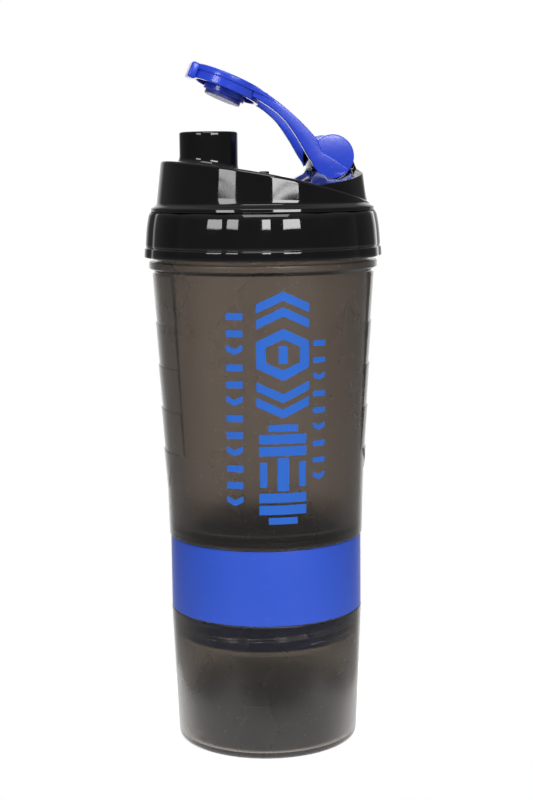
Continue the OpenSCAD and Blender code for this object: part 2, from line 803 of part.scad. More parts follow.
module flip_cap() color([0.23, 0.34, 0.84]) {
    on_hinge() {
        cap_head();
        for (side = [-1, 1]) {
            cap_arm(side);
        }
        // The bridge that joins both arms to the head.
        translate([cap_x, -arm_y - arm_t, plate_z])
            cube([plate_r + bridge_out, 2 * (arm_y + arm_t), bridge_t]);
        // The thumb tab in front.
        translate([cap_x - plate_r - tab_t + tab_sink, -tab_w / 2, plate_top - tab_h])
            cube([tab_t, tab_w, tab_h]);
    }
}

module cap_seal() color([0.86, 0.85, 0.86]) {
    on_hinge() {
        translate([cap_x, 0, cap_spout_z - plug_depth - plug_seal_t])
            cylinder(r = plug_seal_r, h = plug_seal_t, $fn = round_fn);
    }
}

base_jar();
pill_tray();
ring_seal();
storage_ring();
cup_seal();
cup();
strainer();
lid_seal();
lid();
flip_cap();
cap_seal();
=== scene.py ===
# %% [markdown]
# # A three-storey protein shaker
# A storage jar, a storage ring and the drinking cup screw on top of each other, and a glossy
# screw lid with a spout and a hinged flip cap closes the cup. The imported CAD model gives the
# place and size of every piece. This lesson builds a finer skin for each piece that is seen,
# gives every piece a procedural finish, and sets up a plain studio.

import json
import math

import bmesh
import bpy
import numpy as np
from mathutils import Matrix, Vector


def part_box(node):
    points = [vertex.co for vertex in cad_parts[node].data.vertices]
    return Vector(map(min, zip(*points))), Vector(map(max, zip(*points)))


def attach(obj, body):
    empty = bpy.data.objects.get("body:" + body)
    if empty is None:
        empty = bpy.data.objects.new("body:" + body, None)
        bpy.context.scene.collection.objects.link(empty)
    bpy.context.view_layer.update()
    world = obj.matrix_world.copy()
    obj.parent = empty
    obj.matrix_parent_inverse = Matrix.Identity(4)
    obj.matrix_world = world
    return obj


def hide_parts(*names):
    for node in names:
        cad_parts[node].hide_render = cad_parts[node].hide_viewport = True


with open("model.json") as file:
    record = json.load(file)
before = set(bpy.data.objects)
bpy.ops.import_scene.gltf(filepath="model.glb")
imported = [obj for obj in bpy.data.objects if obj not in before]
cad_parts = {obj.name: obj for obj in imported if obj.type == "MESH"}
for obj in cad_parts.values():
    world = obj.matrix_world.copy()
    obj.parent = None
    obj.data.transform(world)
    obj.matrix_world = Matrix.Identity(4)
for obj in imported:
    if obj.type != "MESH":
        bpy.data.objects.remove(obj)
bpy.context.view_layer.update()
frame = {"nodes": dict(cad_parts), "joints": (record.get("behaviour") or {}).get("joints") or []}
print("CAD nodes:", ", ".join(sorted(frame["nodes"])))

# %% [markdown]
# ## The camera
# A product picture is taken from a little way off with a long lens, so that the sides of the
# bottle stay nearly parallel. The camera is set by its distance, its height and where it
# stands round the bottle, because those can be measured on a real set with a tape.

# %% Camera
CAMERA_TURN = math.radians(-10)
CAMERA_DISTANCE, CAMERA_HEIGHT, CAMERA_ASIDE = 0.630, 0.225, 0.0008
CAMERA_PITCH, CAMERA_ROLL = math.radians(-8.15), math.radians(-0.6)

camera = bpy.data.objects.new("camera", bpy.data.cameras.new("camera"))
bpy.context.scene.collection.objects.link(camera)
camera.data.lens, camera.data.sensor_width = 72.675, 36
to_right = Vector((math.cos(CAMERA_TURN), math.sin(CAMERA_TURN), 0))
to_camera = Vector((math.sin(CAMERA_TURN), -math.cos(CAMERA_TURN), 0))
stand = to_camera * CAMERA_DISTANCE + to_right * CAMERA_ASIDE + Vector((0, 0, CAMERA_HEIGHT))
camera.matrix_world = (Matrix.Translation(stand) @ Matrix.Rotation(CAMERA_TURN, 4, "Z")
                       @ Matrix.Rotation(math.pi / 2 + CAMERA_PITCH, 4, "X")
                       @ Matrix.Rotation(CAMERA_ROLL, 4, "Z"))
bpy.context.scene.camera = camera
bpy.context.scene.view_settings.view_transform = "Standard"
print("camera at", [round(v, 3) for v in camera.location])

# %% [markdown]
# ## From CAD boxes to drawing sizes
# Sizes in this lesson are in millimetres, as on a drawing, and become metres only when a mesh
# is made. The heights and radii that pieces share are read off the boxes of the CAD nodes.

# %% Shared sizes
MM = 0.001


def box_mm(node):
    """Lowest and highest corner of a CAD node, in millimetres."""
    low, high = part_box(node)
    return np.array(low) / MM, np.array(high) / MM


jar_high = box_mm("base_jar")[1]
ring_low, ring_high = box_mm("storage_ring")
cup_low, cup_high = box_mm("cup")
lid_low, lid_high = box_mm("lid")
jar_top, jar_r = jar_high[2], jar_high[0]
ring_top, ring_r = ring_high[2], ring_high[0]
cup_top, flange_r = cup_high[2], cup_high[0]
collar_z, spout_top = lid_low[2], lid_high[2]
SEAM, SOCKET_WALL, THREAD_ROOM, NECK_WALL, SOCKET_H, ROOF_GAP = 0.2, 1.65, 1.4, 1.6, 12.2, 2
ring_z, cup_z = jar_top + SEAM, ring_top + SEAM
socket_r = ring_r - SOCKET_WALL
neck_r = socket_r - THREAD_ROOM
neck_bore_r = neck_r - NECK_WALL
neck_h = ring_z - ring_low[2]
roof_z = cup_top + ROOF_GAP
print(f"jar to {jar_top:.1f}, ring to {ring_top:.1f}, cup to {cup_top:.1f}, lid from {collar_z:.1f} mm")

# %% [markdown]
# ## Turned skins
# Most of the bottle is turned: a closed outline spun round an axis. Spinning it in code gives
# full control over where the rows and columns of the mesh lie, so a thread, a lobe or a grip
# can be pressed into the skin while it stays one closed surface. A modifier could spin the
# outline too, but it couldn't follow a thread.

# %% Outlines with rounded corners
def rounded(corners, step=math.radians(15)):
    """An outline through (radius, height, rounding) corners, with an arc at each rounding."""
    outline = []
    for i, (r, z, rounding) in enumerate(corners):
        here = np.array((r, z), float)
        if rounding <= 0:
            outline.append(here)
            continue
        before = np.array(corners[i - 1][:2]) - here
        after = np.array(corners[(i + 1) % len(corners)][:2]) - here
        room = min(np.linalg.norm(before), np.linalg.norm(after))
        before, after = before / np.linalg.norm(before), after / np.linalg.norm(after)
        half = math.acos(np.clip(before @ after, -1, 1)) / 2
        rounding = min(rounding, 0.48 * room * math.tan(half))
        middle = (before + after) / np.linalg.norm(before + after)
        centre = here + middle * rounding / math.sin(half)
        first = here + before * rounding / math.tan(half) - centre
        last = here + after * rounding / math.tan(half) - centre
        turn_from = math.atan2(first[1], first[0])
        sweep = (math.atan2(last[1], last[0]) - turn_from + math.pi) % math.tau - math.pi
        steps = max(2, math.ceil(abs(sweep) / step))
        for k in range(steps + 1):
            a = turn_from + sweep * k / steps
            outline.append(centre + rounding * np.array((math.cos(a), math.sin(a))))
    return np.array(outline)


def with_rows(outline, heights, inside):
    """Adds points to an outline at the given heights, on the stretches that inside() picks."""
    closed = outline[0][0] > 0
    out = []
    for i, here in enumerate(outline):
        out.append(here)
        if i + 1 == len(outline) and not closed:
            break
        there = outline[(i + 1) % len(outline)]
        if inside(*here) and inside(*there) and abs(there[1] - here[1]) > 1e-6:
            share = sorted((h - here[1]) / (there[1] - here[1]) for h in heights)
            out += [here + (there - here) * s for s in share if 0.001 < s < 0.999]
    return np.array(out)


# %% Skins from rows and columns
def skin(rows, closed=True):
    """Points and four-sided faces of a surface through rows of points. Each row is a ring."""
    rows = np.asarray(rows)
    count, columns = rows.shape[:2]
    faces = []
    for i in range(count if closed else count - 1):
        a, b = i * columns, (i + 1) % count * columns
        for j in range(columns):
            k = (j + 1) % columns
            faces.append((a + j, a + k, b + k, b + j))
    return rows.reshape(-1, 3), faces


def turned(outline, angles=192, form=None, centre=0.0):
    """Spins an outline. form() may move the points, given arrays of angle, radius and height."""
    if isinstance(angles, int):
        angles = np.linspace(0, math.tau, angles, endpoint=False)
    angle, r = np.meshgrid(angles, outline[:, 0])
    z = np.repeat(outline[:, 1:2], len(angles), axis=1)
    if form:
        angle, r, z = form(angle, r, z)
    rows = np.stack([centre + r * np.cos(angle), r * np.sin(angle), z], axis=2)
    return skin(rows, closed=outline[0][0] > 0)


def piece(name, shells, body, replaces=(), sharp=38):
    """One smooth-shaded object from closed shells, riding on a CAD body."""
    bm = bmesh.new()
    for points, faces in shells:
        verts = [bm.verts.new(p) for p in (np.asarray(points) * MM).tolist()]
        for face in faces:
            bm.faces.new([verts[i] for i in face])
    bmesh.ops.remove_doubles(bm, verts=bm.verts, dist=1e-7)
    bmesh.ops.recalc_face_normals(bm, faces=bm.faces)
    mesh = bpy.data.meshes.new(name)
    bm.to_mesh(mesh)
    bm.free()
    mesh.shade_smooth()
    mesh.set_sharp_from_angle(angle=math.radians(sharp))
    made = bpy.data.objects.new(name, mesh)
    bpy.context.scene.collection.objects.link(made)
    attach(made, body)
    if replaces:
        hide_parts(*replaces)
    print(f"{name}: {len(mesh.vertices)} points, {len(mesh.polygons)} faces")
    return made


# %% [markdown]
# ## Screw threads
# Each storey screws into the one below with two ridges that climb side by side. On a real
# part they are moulded with the wall, so here they are pressed into the wall's own rows: a
# point near the middle of a ridge moves out, and the ends of a ridge fade into the wall.

# %% Height of a thread ridge
THREAD_H, THREAD_ROOT, THREAD_CREST = 1.0, 1.7, 0.8
THREAD_FIRST, NECK_LEAD, NECK_TURNS, LID_LEAD, LID_TURNS = 7, 8, 0.88, 9, 1.2
THREAD_INSET, FADE = 1.5, math.radians(30)
THREAD_ROW, ON_WALL = 0.33, 0.02


def ridge(angle, z, foot, lead, turns, inner=False):
    """How far a two-start thread stands out of its wall at each point."""
    height = np.zeros_like(z)
    for start in (0, 180):
        first = math.radians(THREAD_FIRST + start + (90 if inner else 0))
        for lap in range(math.ceil(turns)):
            along = (angle - first) % math.tau + lap * math.tau
            away = np.abs(z - foot - lead * along / math.tau)
            flank = np.clip((THREAD_ROOT / 2 - away) / (THREAD_ROOT - THREAD_CREST) * 2, 0, 1)
            flank = flank * flank * (3 - 2 * flank)
            fade = np.clip(np.minimum(along, turns * math.tau - along) / FADE, 0, 1)
            height = np.maximum(height, THREAD_H * flank * fade)
    return height


def threaded(wall_r, foot, lead, turns, low, high, inner=False):
    """A form for turned() that presses a thread into the wall of radius wall_r."""
    def form(angle, r, z):
        on_wall = (np.abs(r - wall_r) < ON_WALL) & (z > low) & (z < high)
        step = ridge(angle, z, foot, lead, turns, inner)
        return angle, np.where(on_wall, r - step if inner else r + step, r), z
    return form


def on_wall(wall_r, low, high):
    """Picks the stretch of an outline that carries a thread."""
    return lambda r, z: abs(r - wall_r) < ON_WALL and low - 0.01 < z < high + 0.01


# %% [markdown]
# ## The base jar
# The jar is a thin cup of smoke-coloured plastic that stands on a narrow ring, with a thread
# inside its mouth. Its own outline is spun, with small roundings where the mould has them.

# %% Base jar
JAR_WALL, JAR_FLOOR, JAR_DRAFT, FOOT_RECESS = 2.0, 2.2, 2.25, 0.6
FOOT_ROUNDING, FOOT_WIDTH = 3.5, 2
foot_r = jar_r - JAR_DRAFT
foot_ring = foot_r - FOOT_ROUNDING
foot_bore = foot_ring - FOOT_WIDTH
jar_ledge = jar_top - SOCKET_H
inner_at_ledge = foot_r - JAR_WALL + JAR_DRAFT * (jar_ledge - JAR_FLOOR) / jar_top
jar_outline = rounded([
    (0, FOOT_RECESS, 0), (foot_bore, FOOT_RECESS, 0.25), (foot_bore, 0, 0.25),
    (foot_ring, 0, 0.3), (foot_r, 0.35, 3.4), (jar_r, jar_top, 0.5), (socket_r, jar_top, 0.3),
    (socket_r, jar_ledge, 0.2), (inner_at_ledge, jar_ledge, 0.25),
    (foot_r - JAR_WALL, JAR_FLOOR, 1.6), (0, JAR_FLOOR, 0)], math.radians(9))
jar_rows = np.arange(jar_ledge, jar_top, THREAD_ROW)
jar_outline = with_rows(jar_outline, jar_rows, on_wall(socket_r, jar_ledge, jar_top))
jar_thread = threaded(socket_r, ring_z - neck_h + THREAD_INSET, NECK_LEAD, NECK_TURNS,
                      jar_ledge, jar_top, inner=True)
jar = piece("jar_body", [turned(jar_outline, 240, jar_thread)], "base_jar",
            ["base_jar"])

# %% [markdown]
# ## The storage ring
# The blue ring is opaque. Its threaded neck reaches down into the jar and is seen through the
# jar's wall as a dark band, so its ridges matter even though they are covered.

# %% Storage ring
SEAL_W, SEAL_H, BORE_H = 2.6, 0.6, 2.3
RING_WALL, RING_FLOOR, RING_CONE_H = 2.25, 1.6, 4.3
seal_r = neck_r + SEAL_W
neck_foot = ring_z - neck_h
ring_floor, ring_ledge = neck_foot + RING_FLOOR, ring_top - SOCKET_H
ring_outline = rounded([
    (0, neck_foot, 0), (neck_r, neck_foot, 0.8), (neck_r, ring_z + SEAL_H, 0.1),
    (seal_r, ring_z + SEAL_H, 0.1), (seal_r, ring_z, 0.1), (ring_r, ring_z, 0.12),
    (ring_r, ring_top, 0.45), (socket_r, ring_top, 0.3), (socket_r, ring_ledge, 0.2),
    (ring_r - RING_WALL, ring_ledge, 0.2), (ring_r - RING_WALL, ring_z + RING_CONE_H, 0.8),
    (neck_bore_r, ring_z + BORE_H, 0.8), (neck_bore_r, ring_floor, 1.0), (0, ring_floor, 0)])
for wall_r, low, high in ((neck_r, neck_foot, ring_z), (socket_r, ring_ledge, ring_top)):
    thread_heights = np.arange(low, high, THREAD_ROW)
    ring_outline = with_rows(ring_outline, thread_heights, on_wall(wall_r, low, high))
ring_neck = threaded(neck_r, neck_foot + THREAD_INSET, NECK_LEAD, NECK_TURNS, neck_foot, ring_z)
ring_mouth = threaded(socket_r, cup_z - neck_h + THREAD_INSET, NECK_LEAD, NECK_TURNS,
                      ring_ledge, ring_top, inner=True)
ring_shell = turned(ring_outline, 240, lambda a, r, z: ring_mouth(*ring_neck(a, r, z)))
ring = piece("ring_band", [ring_shell], "storage_ring", ["storage_ring"])

# %% [markdown]
# ## The cup
# The cup widens from its foot to a flange under the lid. On both sides it has a grip: a panel
# with four shallow steps and a rounded point below. A grip is pressed into the wall too. The
# columns of the mesh are bent so that some of them run exactly along a panel's straight edges,
# which keeps the edges crisp without a very fine mesh everywhere.

# %% Cup sizes and the grip's shape
LOWER_H, LOWER_FLARE, CUP_FLARE, CUP_STEP = 18, 0.45, 3.4, 0.5
CUP_WALL, CUP_FLOOR, CUP_CONE_H = 1.95, 1.8, 5.5
RIM_H, RIM_STEP, RIM_WALL, FLANGE_H, FLANGE_SLOPE_H = 17.2, 0.8, 1.8, 2.5, 1.4
cup_foot, foot_out_r = cup_low[2], ring_r + CUP_STEP
middle_r, middle_z = foot_out_r + LOWER_FLARE, cup_z + LOWER_H
flange_top = cup_top - RIM_H
flange_z = flange_top - FLANGE_H
wall_top, wall_top_r = flange_z - FLANGE_SLOPE_H, middle_r + CUP_FLARE
rim_r = wall_top_r - RIM_STEP
rim_bore_r = rim_r - RIM_WALL
GRIP_HALF, GRIP_PITCH, GRIP_STEPS, GRIP_TIP_H, GRIP_TIP_R = 19.2, 16.6, 4, 15.7, 5.0
GRIP_GAP, GRIP_POINT_INSET = 0.4, 3
STEP_D, STEP_SOFT, PROUD_LOW, PROUD_HIGH = 0.4, 0.4, 0.35, 0.85
grip_top = wall_top - GRIP_GAP
grip_low = grip_top - GRIP_HALF - (GRIP_STEPS - 1) * GRIP_PITCH
grip_edges = [grip_low + i * GRIP_PITCH for i in range(GRIP_STEPS)]


def ease(x):
    """Rises smoothly from 0 to 1 as x does."""
    x = np.clip(x, 0, 1)
    return x * x * (3 - 2 * x)


def wall_at(z):
    """Radius of the cup's wall between the grips."""
    low = foot_out_r + LOWER_FLARE * (z - cup_z) / LOWER_H
    return np.where(z < middle_z, low, middle_r + CUP_FLARE * (z - middle_z) / (wall_top - middle_z))


def grip_depth(y, z):
    """How far inside the outline of a grip panel a point lies."""
    half_low = GRIP_HALF - GRIP_POINT_INSET
    tip_z = grip_low - GRIP_TIP_H + GRIP_TIP_R
    lean = math.atan2(half_low - GRIP_TIP_R, grip_low - tip_z)
    flank = (GRIP_TIP_R - np.abs(y)) * math.cos(lean) + (z - tip_z) * math.sin(lean)
    point = np.where(z < tip_z, GRIP_TIP_R - np.hypot(y, z - tip_z), flank)
    lower = np.maximum(point, z - grip_low)
    return np.minimum(np.minimum(GRIP_HALF - np.abs(y), grip_top - z), lower)


def grip_rise(z):
    """How far the grip stands proud at a height: a saw-tooth with soft edges."""
    base = PROUD_LOW + (PROUD_HIGH - PROUD_LOW) * (z - grip_low) / (grip_top - grip_low)
    edges = [grip_low - GRIP_TIP_H] + grip_edges + [grip_top]
    rise = np.zeros_like(z)
    for low, high in zip(edges, edges[1:]):
        here = ease((z - low) / STEP_SOFT + 0.5) * (1 - ease((z - high) / STEP_SOFT + 0.5))
        rise = rise + here * (base + ((z - low) / (high - low) - 0.5) * STEP_D)
    return rise


print(f"grip from {grip_low - GRIP_TIP_H:.1f} to {grip_top:.1f} mm, steps at",
      [round(float(e), 1) for e in grip_edges])

# %% Cup columns and form
# The columns follow a panel's edges out to PANEL_ZONE from the middle. NEAT_R is the wall's
# radius where they are spaced as listed. The grip starts to rise PRESS_OUT outside a panel's
# outline and is at its full height PRESS_W further in.
PANEL_ZONE, NEAT_R = 19.9, 40.5
PRESS_OUT, PRESS_W = 0.1, 0.55
panel_y = np.concatenate([np.arange(0, 18.5, 0.7), [18.6, 18.85, 19.0, 19.15, 19.3, 19.5]])
zone_angle = math.asin(PANEL_ZONE / NEAT_R)
quarter = np.concatenate([np.arcsin(panel_y / NEAT_R), np.linspace(zone_angle, math.pi / 2, 28)])
half_turn = np.concatenate([quarter, math.pi - quarter[-2::-1]])
cup_angles = np.concatenate([half_turn[:-1], half_turn[:-1] + math.pi])


def cup_form(angle, r, z):
    """Bends the columns along the grips, presses in the grips and the two threads."""
    wall = wall_at(np.clip(z, cup_z, wall_top))
    folded = np.arcsin(np.clip(np.abs(np.sin(angle)), 0, 1))
    zone_here = np.arcsin(PANEL_ZONE / wall)
    in_zone = np.arcsin(np.clip(np.sin(folded) * NEAT_R / wall, 0, 1))
    right_angle = math.pi / 2
    beyond = right_angle - (right_angle - folded) * (right_angle - zone_here) / (right_angle - zone_angle)
    bent = np.where(folded <= zone_angle, in_zone, beyond)
    x_side, y_side = np.where(np.cos(angle) >= 0, 1, -1), np.where(np.sin(angle) >= 0, 1, -1)
    new_angle = np.arctan2(y_side * np.sin(bent), x_side * np.cos(bent)) % math.tau
    outer = (np.abs(r - wall) < ON_WALL) & (z > cup_z) & (z < wall_top)
    depth = grip_depth(wall * np.sin(bent), z)
    r = np.where(outer, r + ease((depth + PRESS_OUT) / PRESS_W) * grip_rise(z), r)
    neck = threaded(neck_r, cup_z - neck_h + THREAD_INSET, NECK_LEAD, NECK_TURNS, cup_foot, cup_z)
    rim = threaded(rim_r, collar_z + THREAD_INSET, LID_LEAD, LID_TURNS, flange_top, cup_top)
    return rim(*neck(new_angle, r, z))


# %% Cup
cup_outline = rounded([
    (0, cup_foot, 0), (neck_r, cup_foot, 0.8), (neck_r, cup_z + SEAL_H, 0.1),
    (seal_r, cup_z + SEAL_H, 0.1), (seal_r, cup_z, 0.1), (foot_out_r, cup_z, 0.35),
    (middle_r, middle_z, 0), (wall_top_r, wall_top, 0), (flange_r, flange_z, 0.4),
    (flange_r, flange_top, 0.5), (rim_r, flange_top, 0.5), (rim_r, cup_top, 0.5),
    (rim_bore_r, cup_top, 0.5), (rim_bore_r, flange_z, 0),
    (foot_out_r - CUP_WALL, cup_z + CUP_CONE_H, 1.2), (neck_bore_r, cup_z + BORE_H, 0.8),
    (neck_bore_r, cup_foot + CUP_FLOOR, 1.6), (0, cup_foot + CUP_FLOOR, 0)])
# Rows crowd round each step of the grip and its upper edge, and are sparse between them.
step_rows = [e + d for e in grip_edges for d in (-0.5, -0.22, -0.1, 0, 0.1, 0.22, 0.5)]
wall_rows = np.concatenate([
    np.arange(grip_low - GRIP_TIP_H - 1, grip_low, 0.6), step_rows,
    [grip_top - 0.5, grip_top - 0.3, grip_top - 0.15, grip_top, grip_top + 0.15],
    np.arange(grip_low + 2, grip_top, 2.0)])
cup_outline = with_rows(cup_outline, wall_rows,
                        lambda r, z: cup_z < z < wall_top + 0.01 and abs(r - wall_at(z)) < ON_WALL)
for wall_r, low, high in ((neck_r, cup_foot, cup_z), (rim_r, flange_top, cup_top)):
    cup_outline = with_rows(cup_outline, np.arange(low, high, THREAD_ROW), on_wall(wall_r, low, high))
cup = piece("cup_body", [turned(cup_outline, cup_angles, cup_form)], "cup", ["cup"])

# %% [markdown]
# ## The lid
# The lid is one moulding: a collar with fifteen soft lobes, a ledge, a dome whose top is a
# gentle arch that falls towards the hinge, and a spout that grows out of the dome. Its skin is
# built from rings of points that run round the collar, over the dome, up and down the spout
# and back under the dome to the thread. Because every ring has the same number of points, the
# whole lid is one closed surface with true fillets, and its reflections stay clean.

# %% Lid sizes
SHOULDER_H, SLOPE_H, DOME_HIGH, DOME_LOW, DOME_WALL, DOME_DRAFT = 1.3, 1.5, 19.6, 2.55, 2.0, 2.0
ARCH_R, LOBES, LOBE_R, LOBE_CENTRE, LOBE_SOFT = 444.0, 15, 27.0, 19.35, 0.07
LID_PLAY, COLLAR_W, COLLAR_DRAFT, SHOULDER_W, SLOPE_W = 0.4, 3.75, 1.3, 0.8, 2.2
SPOUT_INSET, SPOUT_WALL = 20.5, 2.0
thread_in_r = rim_r + THREAD_H + LID_PLAY
collar_r = thread_in_r + COLLAR_W
shoulder_r = thread_in_r + SHOULDER_W
dome_r = shoulder_r - SLOPE_W
dome_z = roof_z + SHOULDER_H + SLOPE_H
dome_lean = DOME_DRAFT / (DOME_HIGH - dome_z + roof_z)
hinge = np.array(next(j for j in frame["joints"] if j["name"] == "cap_hinge")["pos_m"]) / MM
spout_x, spout_r = SPOUT_INSET - dome_r, 11.3
spout_bore = spout_r - SPOUT_WALL
chord = np.array((2 * dome_r, DOME_LOW - DOME_HIGH))
chord_up = np.array((-chord[1], chord[0])) / np.linalg.norm(chord)
arch_centre = (np.array((0, roof_z + (DOME_HIGH + DOME_LOW) / 2))
               - chord_up * math.sqrt(ARCH_R ** 2 - (np.linalg.norm(chord) / 2) ** 2))


def arch(x, inset=0.0):
    """Height of the dome's arched top, or of its underside, at a place along X."""
    return arch_centre[1] + np.sqrt((ARCH_R - inset) ** 2 - (x - arch_centre[0]) ** 2)


def dome_side(z):
    """Radius of the dome's leaning side, or of the slope under it."""
    return np.where(z >= dome_z, dome_r - dome_lean * (z - dome_z),
                    shoulder_r - SLOPE_W * (z - roof_z - SHOULDER_H) / SLOPE_H)


print(f"dome top from {arch(-dome_r):.1f} down to {arch(dome_r):.1f} mm, hinge at {hinge[2]:.1f} mm")

# %% Rings of the lid
LID_COLUMNS = 360
lid_angle = np.linspace(0, math.tau, LID_COLUMNS, endpoint=False)
cos_a, sin_a = np.cos(lid_angle), np.sin(lid_angle)
lobe_turn = math.tau / LOBES
off_crown = (lid_angle + math.pi + lobe_turn / 2) % lobe_turn - lobe_turn / 2
lobe_edge = LOBE_CENTRE * np.cos(off_crown) + np.sqrt(LOBE_R ** 2 - (LOBE_CENTRE * np.sin(off_crown)) ** 2)
valley = lobe_edge.min()
lobe_dip = (LOBE_CENTRE + LOBE_R) - (valley + np.hypot(lobe_edge - valley, LOBE_SOFT))
lobe_dip = np.maximum(lobe_dip, 0)


def ring_at(r, z, centre=0.0):
    """A ring of points with one radius and height, or one of each for every column."""
    r, z = np.broadcast_to(r, lid_angle.shape), np.broadcast_to(z, lid_angle.shape)
    return np.stack([centre + r * cos_a, r * sin_a, z], axis=1)


def collar_ring(z, inset):
    """A ring round the collar, with its lobes."""
    crown = collar_r - COLLAR_DRAFT * (z - collar_z) / (roof_z - collar_z)
    return ring_at(crown - inset - lobe_dip, z)


def curve(first, corner, last, steps=6):
    """Rings along a smooth bend from one ring to another, pulled towards a corner ring."""
    share = np.linspace(0, 1, steps + 1)
    return [first * (1 - t) ** 2 + corner * 2 * t * (1 - t) + last * t * t for t in share]


# %% The dome's edges
EDGE = 1.25


def edge_height(inset):
    """Height where the dome's side meets its top, for every column."""
    z = np.full_like(lid_angle, roof_z + (DOME_HIGH + DOME_LOW) / 2)
    for _ in range(12):
        r = dome_side(z) if inset == 0 else dome_r - inset - dome_lean * (z - dome_z)
        z = arch(r * cos_a, inset)
    return z


top_z = edge_height(0)
side_foot = np.minimum(dome_z, top_z - EDGE)
side_top = top_z - EDGE
dome_corner = ring_at(dome_side(top_z), top_z)
top_start_r = dome_side(top_z) - EDGE
dome_edge = curve(ring_at(dome_side(side_top), side_top), dome_corner,
                  ring_at(top_start_r, arch(top_start_r * cos_a)), 8)
under_z = edge_height(DOME_WALL)
under_r = dome_r - DOME_WALL - dome_lean * (under_z - dome_z)
print(f"dome edge between {top_z.min():.1f} and {top_z.max():.1f} mm")

# %% The spout's foot, bore and the dome's top
FLARE = 2.3


def over_arch(r, inset=0.0, up=0.0):
    """A ring round the spout that lies on the dome's top or underside."""
    return ring_at(r, arch(spout_x + r * cos_a, inset) + up, spout_x)


def across(first, last, inset, steps):
    """Rings that lie on the arch between two rings."""
    out = []
    for t in np.linspace(0, 1, steps + 2)[1:-1]:
        flat = first * (1 - t) + last * t
        flat[:, 2] = arch(flat[:, 0], inset)
        out.append(flat)
    return out


spout_foot = curve(over_arch(spout_r + FLARE), over_arch(spout_r + 0.05),
                   over_arch(spout_r, up=FLARE + 0.3), 8)
spout_rim = [ring_at(spout_r - inset, spout_top - drop, spout_x) for inset, drop in (
    (0, 4.0), (0, 0.8), (0.06, 0.5), (0.23, 0.23), (0.5, 0.06), (0.8, 0),
    (1.3, 0), (1.6, 0.06), (1.8, 0.2), (1.94, 0.45), (2.0, 0.8), (2.0, 6.0))]
bore_foot = [over_arch(spout_bore, DOME_WALL, 0.5), over_arch(spout_bore + 0.15, DOME_WALL, 0.15),
             over_arch(spout_bore + 0.5, DOME_WALL)]

# %% The lid's skin
hem = [collar_ring(collar_z + up, inset) for up, inset in (
    (0, 0.9), (0.02, 0.6), (0.12, 0.28), (0.3, 0.1), (0.6, 0), (3.3, 0), (3.55, 0.05),
    (3.75, 0.2), (3.88, 0.45), (4.02, 0.52), (4.2, 0.5), (4.5, 0.36), (4.9, 0.28))]
collar_side = [collar_ring(z, 0.26 + 0.55 * max(0, (z - roof_z + 8.5) / 7) ** 2)
               for z in np.linspace(collar_z + 5.6, roof_z - 1.5, 10)]
collar_top = [collar_ring(roof_z - drop, inset) for drop, inset in (
    (1.1, 0.98), (0.7, 1.12), (0.4, 1.32), (0.15, 1.62), (0.03, 1.9), (0, 2.2))]
shoulder = [ring_at(shoulder_r + out, roof_z + up) for out, up in (
    (0.35, 0), (0.1, 0.06), (0, 0.3), (0, SHOULDER_H - 0.25), (-0.06, SHOULDER_H - 0.08))]


def side_rings(low, high, shares):
    """Rings up the dome's side or the slope under it, at shares of the way between two heights."""
    return [ring_at(dome_side(low * (1 - t) + high * t), low * (1 - t) + high * t) for t in shares]


slope = side_rings(roof_z + SHOULDER_H, side_foot, (0.08, 0.5, 0.94))
dome_rows = side_rings(side_foot, side_top, (0.03, 0.2, 0.4, 0.6, 0.8, 0.97))
inner_side = [ring_at(under_r * t + (dome_r - DOME_WALL - dome_lean * (roof_z - dome_z)) * (1 - t),
                      under_z * t + roof_z * (1 - t)) for t in (0.9, 0.6, 0.3, 0.0)]
thread_rows = np.arange(roof_z - 0.3, collar_z + 0.35, -0.4)
thread_wall = []
for z in thread_rows:
    step = ridge(lid_angle, np.full_like(lid_angle, z), collar_z + THREAD_INSET, LID_LEAD,
                 LID_TURNS, inner=True)
    thread_wall.append(ring_at(thread_in_r - step, z))
mouth = [ring_at(thread_in_r + 0.05, collar_z + 0.25), ring_at(thread_in_r + 0.3, collar_z)]
lid_rows = (hem + collar_side + collar_top + shoulder + slope + dome_rows + dome_edge
            + across(dome_edge[-1], spout_foot[0], 0, 10) + spout_foot + spout_rim + bore_foot
            + across(bore_foot[-1], ring_at(under_r, under_z), DOME_WALL, 8)
            + [ring_at(under_r, under_z)] + inner_side + [ring_at(thread_in_r, roof_z)]
            + thread_wall + mouth)
lid_shells = [skin(np.array(lid_rows))]

# %% The nub on the dome
NUB_X, NUB_R, NUB_H, NUB_SUNK, NUB_DIMPLE = 0.8, 2.0, 1.9, 1.2, 0.6
nub_foot, nub_top = float(arch(NUB_X)) - NUB_SUNK, float(arch(NUB_X)) + NUB_H
nub_outline = rounded([(0, nub_foot, 0), (NUB_R, nub_foot, 0), (NUB_R, nub_top, 0.6),
                       (1.1, nub_top, 0.2), (0.9, nub_top - NUB_DIMPLE, 0.2),
                       (0, nub_top - NUB_DIMPLE, 0)])
lid_shells.append(turned(nub_outline, 48, centre=NUB_X))
lid = piece("lid_shell", lid_shells, "lid", ["lid"])

# %% [markdown]
# ## The hinge tower
# Behind the spout a tower with a round top carries the cap. Its foot is a saddle that falls
# away to both sides, scooped out where the cap's discs turn. The tower is carved: the outline
# from the side, the outline from behind and the dome's cone are crossed with boolean
# operations, and a bevel softens the edges as a mould would.

# %% Carving helpers
def block(name, points, faces):
    """A plain working solid, not yet a piece of the object."""
    mesh = bpy.data.meshes.new(name)
    mesh.from_pydata((np.array(points) * MM).tolist(), [], faces)
    bm = bmesh.new()
    bm.from_mesh(mesh)
    bmesh.ops.remove_doubles(bm, verts=bm.verts, dist=1e-8)
    bmesh.ops.recalc_face_normals(bm, faces=bm.faces)
    bm.to_mesh(mesh)
    bm.free()
    made = bpy.data.objects.new(name, mesh)
    bpy.context.scene.collection.objects.link(made)
    return made


